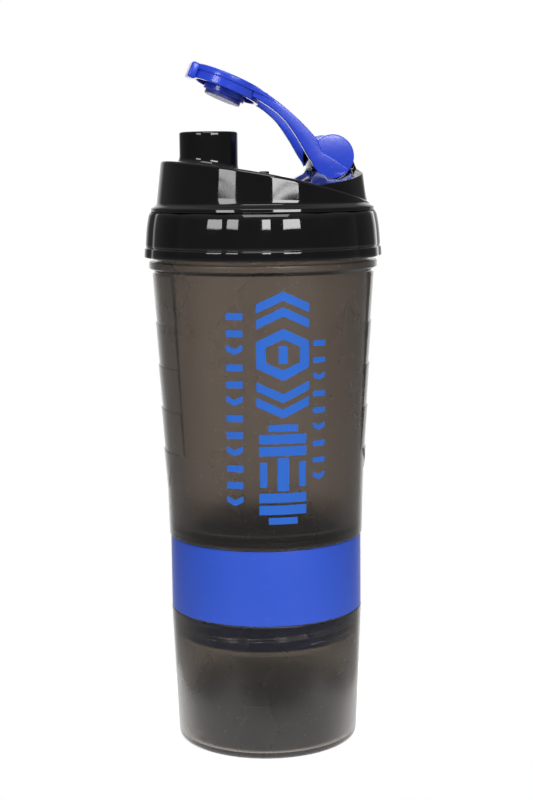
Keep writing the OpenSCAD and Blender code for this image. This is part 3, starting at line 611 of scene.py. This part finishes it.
def prism(name, outline, axis, low, high):
    """A prism from a flat outline. axis says which coordinate the outline leaves out."""
    count = len(outline)
    points = [np.insert(np.array(p, float), axis, depth) for depth in (low, high) for p in outline]
    faces = [tuple(range(count)), tuple(range(2 * count - 1, count - 1, -1))]
    faces += [(i, (i + 1) % count, count + (i + 1) % count, count + i) for i in range(count)]
    return block(name, points, faces)


def settle(target):
    """Applies the modifiers of an object to its mesh."""
    bpy.context.view_layer.update()
    shown = target.evaluated_get(bpy.context.evaluated_depsgraph_get())
    mesh = bpy.data.meshes.new_from_object(shown)
    target.modifiers.clear()
    target.data = mesh


def carve(target, tool, operation):
    """Crosses, cuts or joins a working solid with a tool, and throws the tool away."""
    cut = target.modifiers.new(operation.lower(), "BOOLEAN")
    cut.operation, cut.object, cut.solver = operation, tool, "EXACT"
    settle(target)
    bpy.data.objects.remove(tool)


def arc(centre, r, first, last, steps):
    """Points along an arc, from one angle in degrees to another."""
    turn = np.radians(np.linspace(first, last, steps + 1))
    return [(centre[0] + r * math.cos(a), centre[1] + r * math.sin(a)) for a in turn]


# %% Tower
TOWER_HALF, TOWER_R, SADDLE_H, SADDLE_SLOPE = 8.0, 7.2, 15.4, math.radians(11)
DISC_R, DISC_PLAY = 8.36, 0.5
TOWER_FRONT, TOWER_FRONT_H, TOWER_INSET, TOWER_SUNK = 20.2, 11.3, 0.9, 1.0
hx, hz = hinge[0], hinge[2]
saddle_z = roof_z + SADDLE_H
tower_start, tower_end = hx - TOWER_FRONT, dome_r - TOWER_INSET
along_dome = np.linspace(tower_start, tower_end, 30)
tower_outline = (
    [(tower_start, roof_z + TOWER_FRONT_H), (hx - 8.4, saddle_z - 0.2), (hx - 7.75, saddle_z + 0.35)]
    + arc((hx, hz), TOWER_R, 180, 0, 48)
    + [(hx + 8.6, saddle_z + 3.0), (hx + 9.8, saddle_z), (tower_end, dome_z + 0.6)]
    + [(x, float(arch(x)) - TOWER_SUNK) for x in along_dome[::-1]])
tower = prism("tower_work", tower_outline, 1, -50, 50)
drop = (dome_r - TOWER_HALF) * math.tan(SADDLE_SLOPE)
over_tower = hz + 12
front_outline = [(-dome_r, roof_z), (dome_r, roof_z), (dome_r, saddle_z - drop),
                 (TOWER_HALF, saddle_z), (TOWER_HALF, over_tower), (-TOWER_HALF, over_tower),
                 (-TOWER_HALF, saddle_z), (-dome_r, saddle_z - drop)]
carve(tower, prism("front_work", front_outline, 0, -60, 60), "INTERSECT")
CONE_INSET, CONE_H = 0.3, 30
cone_r = dome_r - CONE_INSET
cone_outline = [(0, roof_z), (cone_r + dome_lean * (dome_z - roof_z), roof_z),
                (cone_r - dome_lean * CONE_H, dome_z + CONE_H), (0, dome_z + CONE_H)]
carve(tower, block("cone_work", *turned(np.array(cone_outline), 180)), "INTERSECT")
for side in (-1, 1):
    scoop = prism("scoop_work", arc((hx, hz), DISC_R + DISC_PLAY, 0, 357, 119), 1,
                  *sorted((side * TOWER_HALF, side * 60)))
    carve(tower, scoop, "DIFFERENCE")
print("tower has", len(tower.data.polygons), "faces before its edges are softened")

# %% Soften and fit the tower
SHARP = math.radians(32)
bevel = tower.modifiers.new("soften", "BEVEL")
bevel.width, bevel.segments, bevel.miter_outer = 0.45 * MM, 3, "MITER_ARC"
bevel.limit_method, bevel.angle_limit = "ANGLE", SHARP
settle(tower)
tower.name = tower.data.name = "hinge_tower"
tower.data.shade_smooth()
tower.data.set_sharp_from_angle(angle=SHARP)
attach(tower, "lid")
print(f"hinge_tower: {len(tower.data.vertices)} points, {len(tower.data.polygons)} faces")

# %% [markdown]
# ## The flip cap
# The cap is a round head with a skirt that closes over the spout and a plug that goes into it,
# held by two arms that end in discs on the hinge. It is drawn closed, measured from the
# hinge's axis, and then turned open by the angle that the CAD model rests at.

# %% Cap sizes
cap_joint = next(j for j in frame["joints"] if j["name"] == "cap_hinge")
cap_open = -math.radians(cap_joint["range_deg"][0])
cap_x = spout_x - hx
rest_on_z = spout_top - hz
SKIRT_R, SKIRT_WALL, SKIRT_DROP, PLATE_R = spout_r + 2.3, 1.7, 2.6, spout_r + 2.8
PLATE_GAP, PLATE_H, CROWN, PLUG_R, PLUG_FLAT_R, PLUG_DROP = 0.6, 2.2, 1.4, 8.3, 7.0, 4.5
plate_z = rest_on_z + PLATE_GAP
plate_top = plate_z + PLATE_H
crown_r = (PLATE_R ** 2 + CROWN ** 2) / (2 * CROWN)
open_turn = (Matrix.Translation(Vector((hx, 0, hz)) * MM) @ Matrix.Rotation(cap_open, 4, "Y"))
print(f"cap rests {math.degrees(cap_open):.1f} degrees open")

# %% The cap's head
crown = [(r, plate_top + CROWN - crown_r + math.sqrt(crown_r ** 2 - r * r), 0)
         for r in np.linspace(0, PLATE_R - 1.2, 9)]
skirt_foot, plug_foot, skirt_bore = rest_on_z - SKIRT_DROP, rest_on_z - PLUG_DROP, SKIRT_R - SKIRT_WALL
head_outline = rounded(
    crown + [(PLATE_R, plate_top + 0.05, 0.9), (PLATE_R, plate_z, 0.5), (SKIRT_R, plate_z, 0.25),
             (SKIRT_R, skirt_foot, 0.45), (skirt_bore, skirt_foot, 0.4),
             (skirt_bore, plate_z, 0.5), (PLUG_R, plate_z, 0.5), (PLUG_R, plug_foot, 0.5),
             (PLUG_FLAT_R, plug_foot, 0), (0, plug_foot, 0)])
cap_shells = [turned(head_outline, 120, centre=cap_x)]


def softened(made, bevel, picks):
    """Rounds the edges that picks() names, and turns a working solid into a closed shell."""
    bm = bmesh.new()
    bm.from_mesh(made.data)
    bmesh.ops.bevel(bm, geom=[e for e in bm.edges if picks(e)], offset=bevel * MM, segments=4,
                    offset_type="OFFSET", profile=0.5, affect="EDGES", clamp_overlap=True)
    bm.verts.index_update()
    points = [np.array(v.co) / MM for v in bm.verts]
    faces = [tuple(v.index for v in f.verts) for f in bm.faces]
    bm.free()
    bpy.data.objects.remove(made)
    return points, faces


def plate(outline, side, near, far, bevel):
    """A flat plate standing on edge at one side, from an outline in X and Z."""
    made = prism("plate_work", outline, 1, *sorted((side * near, side * far)))
    return softened(made, bevel, lambda e: abs(e.verts[0].co.y - e.verts[1].co.y) < 1e-7)


# %% The cap's arms and discs
def bezier(a, b, c, d, steps):
    """Points along a smooth bend, without its last point."""
    a, b, c, d = (np.array(p, float) for p in (a, b, c, d))
    return [tuple(a * (1 - t) ** 3 + b * 3 * t * (1 - t) ** 2 + c * 3 * t * t * (1 - t) + d * t ** 3)
            for t in np.linspace(0, 1, steps, endpoint=False)]


ARM_IN, ARM_OUT, CREASE, STUD_R, STUD_END = TOWER_HALF + 0.3, TOWER_HALF + 2.9, 0.22, 2.5, 4.5
disc_outline = arc((0, 0), DISC_R, 0, 356.4, 99)
# The arm's blade runs on over the lower half of its disc, and its top edge shows as a crease.
joint, ARM_TOP_STEPS = (-7.6, 3.3), 18
arm_outline = (
    bezier((cap_x + 4, plate_top + 0.35), (-32, plate_top - 0.2), (-18.5, 9.0), joint, ARM_TOP_STEPS)
    + bezier(joint, (-5.6, 0.9), (-4.9, -0.2), (-3.0, -0.3), 6)
    + bezier((-3.0, -0.3), (0.2, -0.3), (3.9, -1.4), (8.0, -2.1), 8)
    + arc((0, 0), DISC_R - 0.02, -15.5, -142, 40)
    + bezier((-6.6, -5.13), (-8.0, -4.4), (-9.6, -3.3), (-11.1, -2.1), 5)[1:]
    + bezier((-11.1, -2.1), (-14.2, 0.3), (-18.5, 3.2), (-22.1, 5.1), 8)
    + bezier((-22.1, 5.1), (-27, 7.4), (-33, 8.2), (cap_x + 9, 8.4), 8)
    + [(cap_x + 9, 8.4), (cap_x + 8.7, plate_z + 0.1), (cap_x + 4, plate_z + 0.1)])
stud_outline = arc((0, 0), STUD_R, 0, 352.5, 47)
for side in (-1, 1):
    cap_shells.append(plate(disc_outline, side, ARM_IN, ARM_OUT - CREASE, 0.5))
    cap_shells.append(plate(arm_outline, side, ARM_IN, ARM_OUT, 0.55))
    cap_shells.append(plate(stud_outline, side, STUD_END, ARM_IN + 1, 0.3))

# %% Where the arms flow into the head
def loft(sections):
    """A closed shell through cross-sections that all have the same number of points."""
    points, faces = skin(sections, closed=False)
    size = len(sections[0])
    last = (len(sections) - 1) * size
    return points, faces + [tuple(range(size))[::-1], tuple(range(last, last + size))]


LOFT_FROM, LOFT_LENGTH, LOFT_FLARE, LOFT_EDGE = 6.5, 16, 1.5, 0.45
arm_top = np.array(arm_outline[:ARM_TOP_STEPS])
for side in (-1, 1):
    sections = []
    for t in np.linspace(0, 1, 15):
        x = cap_x + LOFT_FROM + LOFT_LENGTH * t
        top = float(np.interp(x, arm_top[:, 0], arm_top[:, 1])) - 0.06 - 0.3 * (1 - t)
        bottom = plate_z * (1 - t) + (top - 1.6) * t
        out, inner, edge = ARM_OUT - 0.05 + LOFT_FLARE * (1 - t) ** 2.2, ARM_IN + 0.6, LOFT_EDGE
        sections.append([(x, side * y, z) for y, z in (
            (inner, bottom), (out - edge, bottom), (out - 0.13, bottom + 0.13), (out, bottom + edge),
            (out, top - edge), (out - 0.13, top - 0.13), (out - edge, top), (inner, top))])
    cap_shells.append(loft(sections))

# %% The bridge and the thumb tab
def slab(low, high, bevel):
    """A block with all its edges rounded."""
    points = [(x, y, z) for x in (low[0], high[0]) for y in (low[1], high[1]) for z in (low[2], high[2])]
    faces = [(0, 1, 3, 2), (4, 6, 7, 5), (0, 4, 5, 1), (2, 3, 7, 6), (0, 2, 6, 4), (1, 5, 7, 3)]
    return softened(block("slab_work", points, faces), bevel, lambda e: True)


BRIDGE_H, BRIDGE_INSET, TAB_OUT, TAB_HALF, TAB_DROP = 1.5, 0.15, 2.0, 5.5, 6.2
cap_shells.append(slab((cap_x + 6, BRIDGE_INSET - ARM_OUT, plate_z),
                       (cap_x + PLATE_R + 0.2, ARM_OUT - BRIDGE_INSET, plate_z + BRIDGE_H), 0.4))
cap_shells.append(slab((cap_x - PLATE_R - TAB_OUT, -TAB_HALF, plate_top - TAB_DROP),
                       (cap_x - PLATE_R + 1.2, TAB_HALF, plate_top), 0.9))
flip_cap = piece("cap_shell", cap_shells, "flip_cap", ["flip_cap"])
flip_cap.data.transform(open_turn)
print("cap turned open")

# %% [markdown]
# ## The print
# The front of the cup carries a bold vertical print. Here it is a plain pattern of chevrons,
# a hexagon and a dumbbell that follows the cup's wall, with rows of small marks at both sides.
# Each mark is a thin closed layer of ink that is bent round the wall, so that it catches light
# like ink and doesn't need a texture.

# %% Ink ribbons
INK_LOW, INK_HIGH, INK_STEP = 0.01, 0.075, 1.2
PRINT_ANGLE = -math.pi / 2


def on_cup(across_mm, z, lift):
    """A point on the cup's wall, across_mm along the wall from the middle of the print."""
    r = float(wall_at(z)) + lift
    a = PRINT_ANGLE + across_mm / float(wall_at(z))
    return r * math.cos(a), r * math.sin(a), z


def ribbon(left, right, closed=False):
    """A thin layer of ink between two lines of points, bent round the cup."""
    left, right = [np.array(p, float) for p in left], [np.array(p, float) for p in right]
    if closed:
        left, right = left + left[:1], right + right[:1]
    fine = []
    for i in range(len(left) - 1):
        steps = max(1, math.ceil(np.linalg.norm(left[i + 1] - left[i]) / INK_STEP))
        for k in range(steps):
            t = k / steps
            fine.append((left[i] * (1 - t) + left[i + 1] * t, right[i] * (1 - t) + right[i + 1] * t))
    if not closed:
        fine.append((left[-1], right[-1]))
    width = max(np.linalg.norm(a - b) for a, b in fine)
    spans = max(1, math.ceil(width / INK_STEP))
    rows = []
    for a, b in fine:
        line = [a + (b - a) * s / spans for s in range(spans + 1)]
        rows.append([on_cup(*p, INK_HIGH) for p in line] + [on_cup(*p, INK_LOW) for p in line[::-1]])
    points, faces = skin(np.array(rows), closed=closed)
    if not closed:
        size = 2 * spans + 2
        last = (len(rows) - 1) * size
        for s in range(spans):
            faces.append((s + 1, s, size - 1 - s, size - 2 - s))
            faces.append((last + s, last + s + 1, last + size - 2 - s, last + size - 1 - s))
    return points, faces


def bar(x, z, width, height):
    """An upright bar of ink, given its middle."""
    w, h = width / 2, height / 2
    return ribbon([(x - w, z - h), (x - w, z + h)], [(x + w, z - h), (x + w, z + h)])


def chevron(x, z, width, rise, thick):
    """A chevron that points up, or down where rise is negative."""
    w = width / 2
    lower = [(x - w, z), (x, z + rise), (x + w, z)]
    return ribbon(lower, [(px, pz + thick) for px, pz in lower])


def hexagon(x, z, width, height, thick):
    """A hexagonal loop standing on its point."""
    shape = [(0, 1), (1, 0.5), (1, -0.5), (0, -1), (-1, -0.5), (-1, 0.5)]
    outer = [(x + u * width / 2, z + v * height / 2) for u, v in shape]
    inner = [(x + u * (width / 2 - thick), z + v * (height / 2 - thick * 1.12)) for u, v in shape]
    return ribbon(outer, inner, closed=True)


# %% The pattern
marks = []
for z in (176.2, 170.4):
    marks.append(chevron(0, z - 3.6, 20, 4.6, 3.4))
marks += [hexagon(0, 157.2, 20, 19.5, 3.6), bar(0, 157.2, 3.4, 6.6)]
for z in (143.8, 138.0):
    marks.append(chevron(0, z, 20, -4.6, 3.4))
for z, width, height in ((129.8, 11, 2.6), (125.6, 18, 3.6), (121.0, 18, 3.6), (103.2, 18, 3.6),
                         (98.6, 18, 3.6), (94.4, 11, 2.6)):
    marks.append(bar(0, z, width, height))
marks.append(bar(0, 112.1, 4.4, 12.6))
marks += [bar(side * 7.4, 112.1, 2.6, 9.5) for side in (-1, 1)]
for i in range(12):
    z = 171.5 - i * 6.35
    marks.append(chevron(-18.2, z, 6.4, -1.6, 2.3) if i % 3 == 2 else bar(-18.2, z, 6.4, 2.6))
for i in range(9):
    z = 161.0 - i * 6.3
    marks.append(chevron(14.3, z, 5.2, -1.3, 1.9) if i % 3 == 2 else bar(14.3, z, 5.2, 2.1))
cup_print = piece("cup_print", marks, "cup", sharp=60)

# %% [markdown]
# ## Finishes
# Every finish is worked out from nodes. A small class wraps a node socket so that sums can be
# written as in plain Python, and one method makes any other node. Patterns are measured in
# the piece's own space, so they stay put when the lid is unscrewed.

# %% Sums with sockets
class Wire:
    """A value that runs through the node tree of one recipe."""

    def __init__(self, recipe, socket):
        self.recipe, self.socket = recipe, socket

    def sum_node(self, operation, first, second):
        vector = any(isinstance(v, Wire) and v.socket.type in ("VECTOR", "RGBA") for v in (first, second))
        kind = "ShaderNodeVectorMath" if vector else "ShaderNodeMath"
        if vector and not isinstance(second, Wire) and not isinstance(second, tuple):
            second = (second,) * 3
        return self.recipe.node(kind, {"operation": operation}, {0: first, 1: second})

    def __add__(self, other):
        return self.sum_node("ADD", self, other)

    def __radd__(self, other):
        return self.sum_node("ADD", other, self)

    def __sub__(self, other):
        return self.sum_node("SUBTRACT", self, other)

    def __rsub__(self, other):
        return self.sum_node("SUBTRACT", other, self)

    def __mul__(self, other):
        return self.sum_node("MULTIPLY", self, other)

    def __rmul__(self, other):
        return self.sum_node("MULTIPLY", other, self)

    def above(self, other):
        return self.sum_node("GREATER_THAN", self, other)


class Recipe:
    """The node tree of one finish."""

    def __init__(self, owner):
        owner.use_nodes = True
        self.owner, self.tree = owner, owner.node_tree
        self.tree.nodes.clear()

    def node(self, kind, settings=(), sockets=(), out=0):
        made = self.tree.nodes.new(kind)
        for key, value in dict(settings).items():
            if key == "stops":
                while len(made.color_ramp.elements) < len(value):
                    made.color_ramp.elements.new(1)
                for element, (place, level) in zip(made.color_ramp.elements, value):
                    element.position, element.color = place, (level, level, level, 1)
            else:
                setattr(made, key, value)
        for key, value in dict(sockets).items():
            if isinstance(value, Wire):
                self.tree.links.new(value.socket, made.inputs[key])
            else:
                made.inputs[key].default_value = value
        return Wire(self, made.outputs[out])

    def blend(self, share, first, second):
        return self.node("ShaderNodeMix", {"data_type": "RGBA"}, {0: share, 6: first, 7: second}, 2)

    def place(self):
        return self.node("ShaderNodeTexCoord", out=3)

    def noise(self, scale, detail, rough=0.5, stretch=(1, 1, 1)):
        return self.node("ShaderNodeTexNoise", (), {
            "Vector": self.place() * stretch, "Scale": scale, "Detail": detail, "Roughness": rough})

    def ramp(self, value, *stops):
        return self.node("ShaderNodeValToRGB", {"stops": stops}, {0: value})

    def bump(self, height, distance_mm, strength):
        return self.node("ShaderNodeBump", (), {"Height": height, "Distance": distance_mm * MM,
                                                "Strength": strength})

    def finish(self, **sockets):
        named = {key.replace("_", " "): value for key, value in sockets.items()}
        shader = self.node("ShaderNodeBsdfPrincipled", (), named)
        self.node_out(shader, "ShaderNodeOutputMaterial")
        return self.owner

    def node_out(self, shader, kind):
        out = self.tree.nodes.new(kind)
        self.tree.links.new(shader.socket, out.inputs["Surface"])


def recipe(name):
    return Recipe(bpy.data.materials.new(name))


def wear(pieces, material):
    """Gives pieces a finish."""
    for made in pieces:
        made.data.materials.clear()
        made.data.materials.append(material)
    print(material.name, "on", ", ".join(made.name for made in pieces))


nodes = frame["nodes"]

# %% [markdown]
# ## Smoke plastic
# The cup and the jar are translucent polypropylene with a smoke tint. Light goes through, but
# the plastic is slightly cloudy, so what is behind it is blurred. A rough transmission gives
# that cloudiness, and a thin glossy coat gives the surface its shine. Faint flow marks run up
# the wall, and there are a few pale specks in the plastic.

# %% Smoke plastic
smoke = recipe("smoke_plastic")
flow = smoke.noise(60, 2, 0.5, stretch=(1, 1, 0.12))
cloud = smoke.noise(28, 3, 0.55)
specks = smoke.noise(900, 1, 0.4).above(0.735)
tint = smoke.blend(smoke.ramp(cloud * 0.5 + flow * 0.5, (0.35, 0), (0.65, 1)),
                   (0.235, 0.205, 0.180, 1), (0.285, 0.252, 0.224, 1))
tint = smoke.blend(specks, tint, (0.55, 0.52, 0.48, 1))
smoke_skin = smoke.bump(smoke.noise(350, 2, 0.6) * 0.35 + flow * 0.65, 0.03, 0.35)
smoke_plastic = smoke.finish(
    Base_Color=tint, Roughness=smoke.ramp(cloud, (0.3, 0.25), (0.7, 0.31)), Normal=smoke_skin,
    Transmission_Weight=1.0, IOR=1.49, Coat_Weight=0.15, Coat_Roughness=0.12, Coat_IOR=1.45)
wear([jar, cup], smoke_plastic)

# %% [markdown]
# ## The pill tray, the seals and the strainer
# These sit inside, but they show through the smoke plastic and when the bottle is taken apart.
# They keep their CAD meshes and get finishes of their own.

# %% Tray plastic
tray = recipe("tray_plastic")
tray_cloud = tray.noise(45, 3, 0.5)
tray_plastic = tray.finish(
    Base_Color=tray.blend(tray_cloud, (0.20, 0.21, 0.17, 1), (0.29, 0.30, 0.25, 1)),
    Roughness=tray.ramp(tray_cloud, (0.3, 0.26), (0.7, 0.36)),
    Normal=tray.bump(tray.noise(420, 2, 0.6), 0.02, 0.3), Transmission_Weight=0.9, IOR=1.49)
wear([nodes["pill_tray"]], tray_plastic)

# %% Silicone
seal = recipe("silicone")
seal_grain = seal.noise(700, 3, 0.6)
silicone = seal.finish(
    Base_Color=seal.blend(seal.noise(90, 2), (0.56, 0.54, 0.56, 1), (0.70, 0.68, 0.70, 1)),
    Roughness=seal.ramp(seal_grain, (0.3, 0.42), (0.7, 0.6)),
    Normal=seal.bump(seal_grain, 0.02, 0.4), Subsurface_Weight=0.25,
    Subsurface_Radius=(1.0, 0.9, 0.85), Subsurface_Scale=0.0015)
wear([nodes[n] for n in ("ring_seal", "cup_seal", "lid_seal")], silicone)

# %% Blue silicone of the cap's plug seal
plug = recipe("cap_silicone")
plug_grain = plug.noise(700, 3, 0.6)
cap_silicone = plug.finish(
    Base_Color=plug.blend(plug.noise(90, 2), (0.07, 0.09, 0.42, 1), (0.10, 0.12, 0.50, 1)),
    Roughness=plug.ramp(plug_grain, (0.3, 0.32), (0.7, 0.46)),
    Normal=plug.bump(plug_grain, 0.02, 0.4), Transmission_Weight=0.3, IOR=1.41)
wear([nodes["cap_seal"]], cap_silicone)

# %% Strainer plastic
mesh = recipe("strainer_plastic")
mesh_grain = mesh.noise(1500, 2, 0.6)
strainer_plastic = mesh.finish(
    Base_Color=mesh.blend(mesh_grain, (0.016, 0.016, 0.018, 1), (0.028, 0.028, 0.031, 1)),
    Roughness=mesh.ramp(mesh_grain, (0.3, 0.34), (0.7, 0.48)),
    Normal=mesh.bump(mesh_grain, 0.015, 0.5))
wear([nodes["strainer"]], strainer_plastic)

# %% [markdown]
# ## Black gloss
# The lid is moulded in a polished tool, so it is almost a black mirror. What makes it look
# real is what breaks the mirror: a slight waviness of the wall and hairline scratches from
# handling.

# %% Lid finish
gloss = recipe("lid_black")
wave = gloss.noise(22, 2, 0.5)
haze = gloss.noise(75, 4, 0.6)
hair = gloss.noise(420, 4, 0.7, stretch=(1, 1, 9))
scratch = gloss.ramp(hair, (0.62, 0), (0.70, 1))
gloss_rough = gloss.ramp(haze, (0.35, 0.03), (0.75, 0.075)) + scratch * 0.08
lid_black = gloss.finish(
    Base_Color=gloss.blend(haze, (0.0035, 0.0035, 0.004, 1), (0.008, 0.008, 0.009, 1)),
    Roughness=gloss_rough, Normal=gloss.bump(wave * 0.9 + scratch * 0.02, 0.10, 0.5),
    IOR=1.5, Specular_IOR_Level=0.5)
wear([lid, tower], lid_black)

# %% [markdown]
# ## Two blues
# The ring has a satin face from a lightly blasted mould, and the cap is shinier. Both are the
# same opaque blue, with the faint swirls that pigment leaves and a fine grain.

# %% Ring and cap finish
def blue_finish(name, dark, light, rough, grain_mm, coat):
    blue = recipe(name)
    swirl = blue.noise(34, 3, 0.55, stretch=(1, 1, 0.5))
    grain = blue.noise(1900, 2, 0.55)
    scuff = blue.ramp(blue.noise(260, 4, 0.7, stretch=(1, 1, 6)), (0.60, 0), (0.72, 1))
    colour = blue.blend(swirl, dark, light)
    return blue.finish(
        Base_Color=blue.blend(scuff * 0.10, colour, (0.30, 0.38, 0.85, 1)),
        Roughness=blue.ramp(swirl, (0.3, rough - 0.04), (0.7, rough + 0.04)) + scuff * 0.08,
        Normal=blue.bump(grain, grain_mm, 0.5), Coat_Weight=coat, Coat_Roughness=0.08, IOR=1.49)


ring_blue = blue_finish("ring_blue", (0.026, 0.092, 0.61, 1), (0.034, 0.108, 0.69, 1),
                        rough=0.42, grain_mm=0.014, coat=0.0)
cap_blue = blue_finish("cap_blue", (0.017, 0.056, 0.62, 1), (0.023, 0.068, 0.70, 1),
                       rough=0.26, grain_mm=0.006, coat=0.25)
wear([ring], ring_blue)
wear([flip_cap], cap_blue)

# %% [markdown]
# ## Ink
# Screen-printed ink is an even, slightly raised film. It is a touch thinner in places, where
# the smoke plastic darkens it.

# %% Print finish
ink = recipe("print_blue")
thin = ink.ramp(ink.noise(240, 4, 0.65), (0.40, 0), (0.75, 1))
print_blue = ink.finish(
    Base_Color=ink.blend(thin * 0.35, (0.022, 0.150, 0.66, 1), (0.016, 0.105, 0.46, 1)),
    Roughness=ink.ramp(thin, (0.0, 0.34), (1.0, 0.5)), Normal=ink.bump(thin, 0.01, 0.4))
wear([cup_print], print_blue)

# %% [markdown]
# ## The studio
# The bottle stands on a small pale card in a room that the camera sees as white. For all other
# light the room is bright only straight behind the bottle, dimmer above and below, and nearly
# dark in front, so that the black lid stays black and its edges light up. Two softboxes stand
# in front, left and right of the camera, each made of two panels with a thin gap between them,
# and give the lid its bright patches. A wide, weak light high in front fills what they miss.

# %% Floor
FLOOR_HALF = 80
floor = block("floor", [(x * FLOOR_HALF, y * FLOOR_HALF, 0)
                        for x, y in ((-1, -1), (1, -1), (1, 1), (-1, 1))], [(0, 1, 2, 3)])
ground = recipe("floor_paper")
floor_paper = ground.finish(
    Base_Color=ground.blend(ground.noise(3, 2), (0.86, 0.86, 0.86, 1), (0.90, 0.90, 0.90, 1)),
    Roughness=0.75, Emission_Color=(1.0, 1.0, 1.0, 1), Emission_Strength=0.7)
wear([floor], floor_paper)

# %% Softboxes
def softbox(name, turn_deg, height, distance, size, power, aim=0.2):
    """A rectangular light that faces the bottle. The turn is measured like the camera's."""
    lamp = bpy.data.lights.new(name, "AREA")
    lamp.shape, lamp.energy = "RECTANGLE", power
    lamp.size, lamp.size_y = size
    made = bpy.data.objects.new(name, lamp)
    bpy.context.scene.collection.objects.link(made)
    turn = math.radians(turn_deg)
    made.location = (distance * math.sin(turn), -distance * math.cos(turn), height)
    made.rotation_euler = (Vector((0, 0, aim)) - made.location).to_track_quat("-Z", "Y").to_euler()
    made.visible_camera = False
    print(name, "at", [round(v, 2) for v in made.location])
    return made


GAP_HALF, PANEL_TOP, BOX_DISTANCE = 0.002, 0.74, 1.2
for name, turn, width, low, gap, strength in (("left", -48, 0.40, 0.459, 0.471, 9.0),
                                              ("right", 15, 0.60, 0.467, 0.480, 14.0)):
    for part, bottom, top in (("low", low, gap - GAP_HALF), ("high", gap + GAP_HALF, PANEL_TOP)):
        middle = (bottom + top) / 2
        power = strength * math.pi * width * (top - bottom)
        softbox(f"{name}_softbox_{part}", turn, middle, BOX_DISTANCE, (width, top - bottom), power,
                middle)
softbox("front_fill", -10, 1.50, 1.0, (1.0, 0.8), 12.0)

# %% Room
room = Recipe(bpy.data.worlds.new("room"))
bpy.context.scene.world = room.owner
toward = room.node("ShaderNodeTexCoord")
behind = room.node("ShaderNodeVectorMath", {"operation": "DOT_PRODUCT"},
                   {0: toward, 1: tuple(-to_camera)}, 1)
height = room.node("ShaderNodeVectorMath", {"operation": "DOT_PRODUCT"}, {0: toward, 1: (0, 0, 1)}, 1)
glow = room.ramp(behind, (0.0, 0.05), (0.78, 0.08), (0.93, 0.62), (0.985, 1.0)) * 1.9
glow = room.ramp(height, (0.3, 0), (0.9, 0.3)) + glow
glow = room.ramp(0 - height, (0.05, 0), (0.5, 0.42)) + glow
seen = room.node("ShaderNodeLightPath", out="Is Camera Ray")
room.node_out(room.node("ShaderNodeBackground", (), {
    "Color": room.blend(seen, glow, (1, 1, 1, 1)), "Strength": 1.0}), "ShaderNodeOutputWorld")
print("room ready")
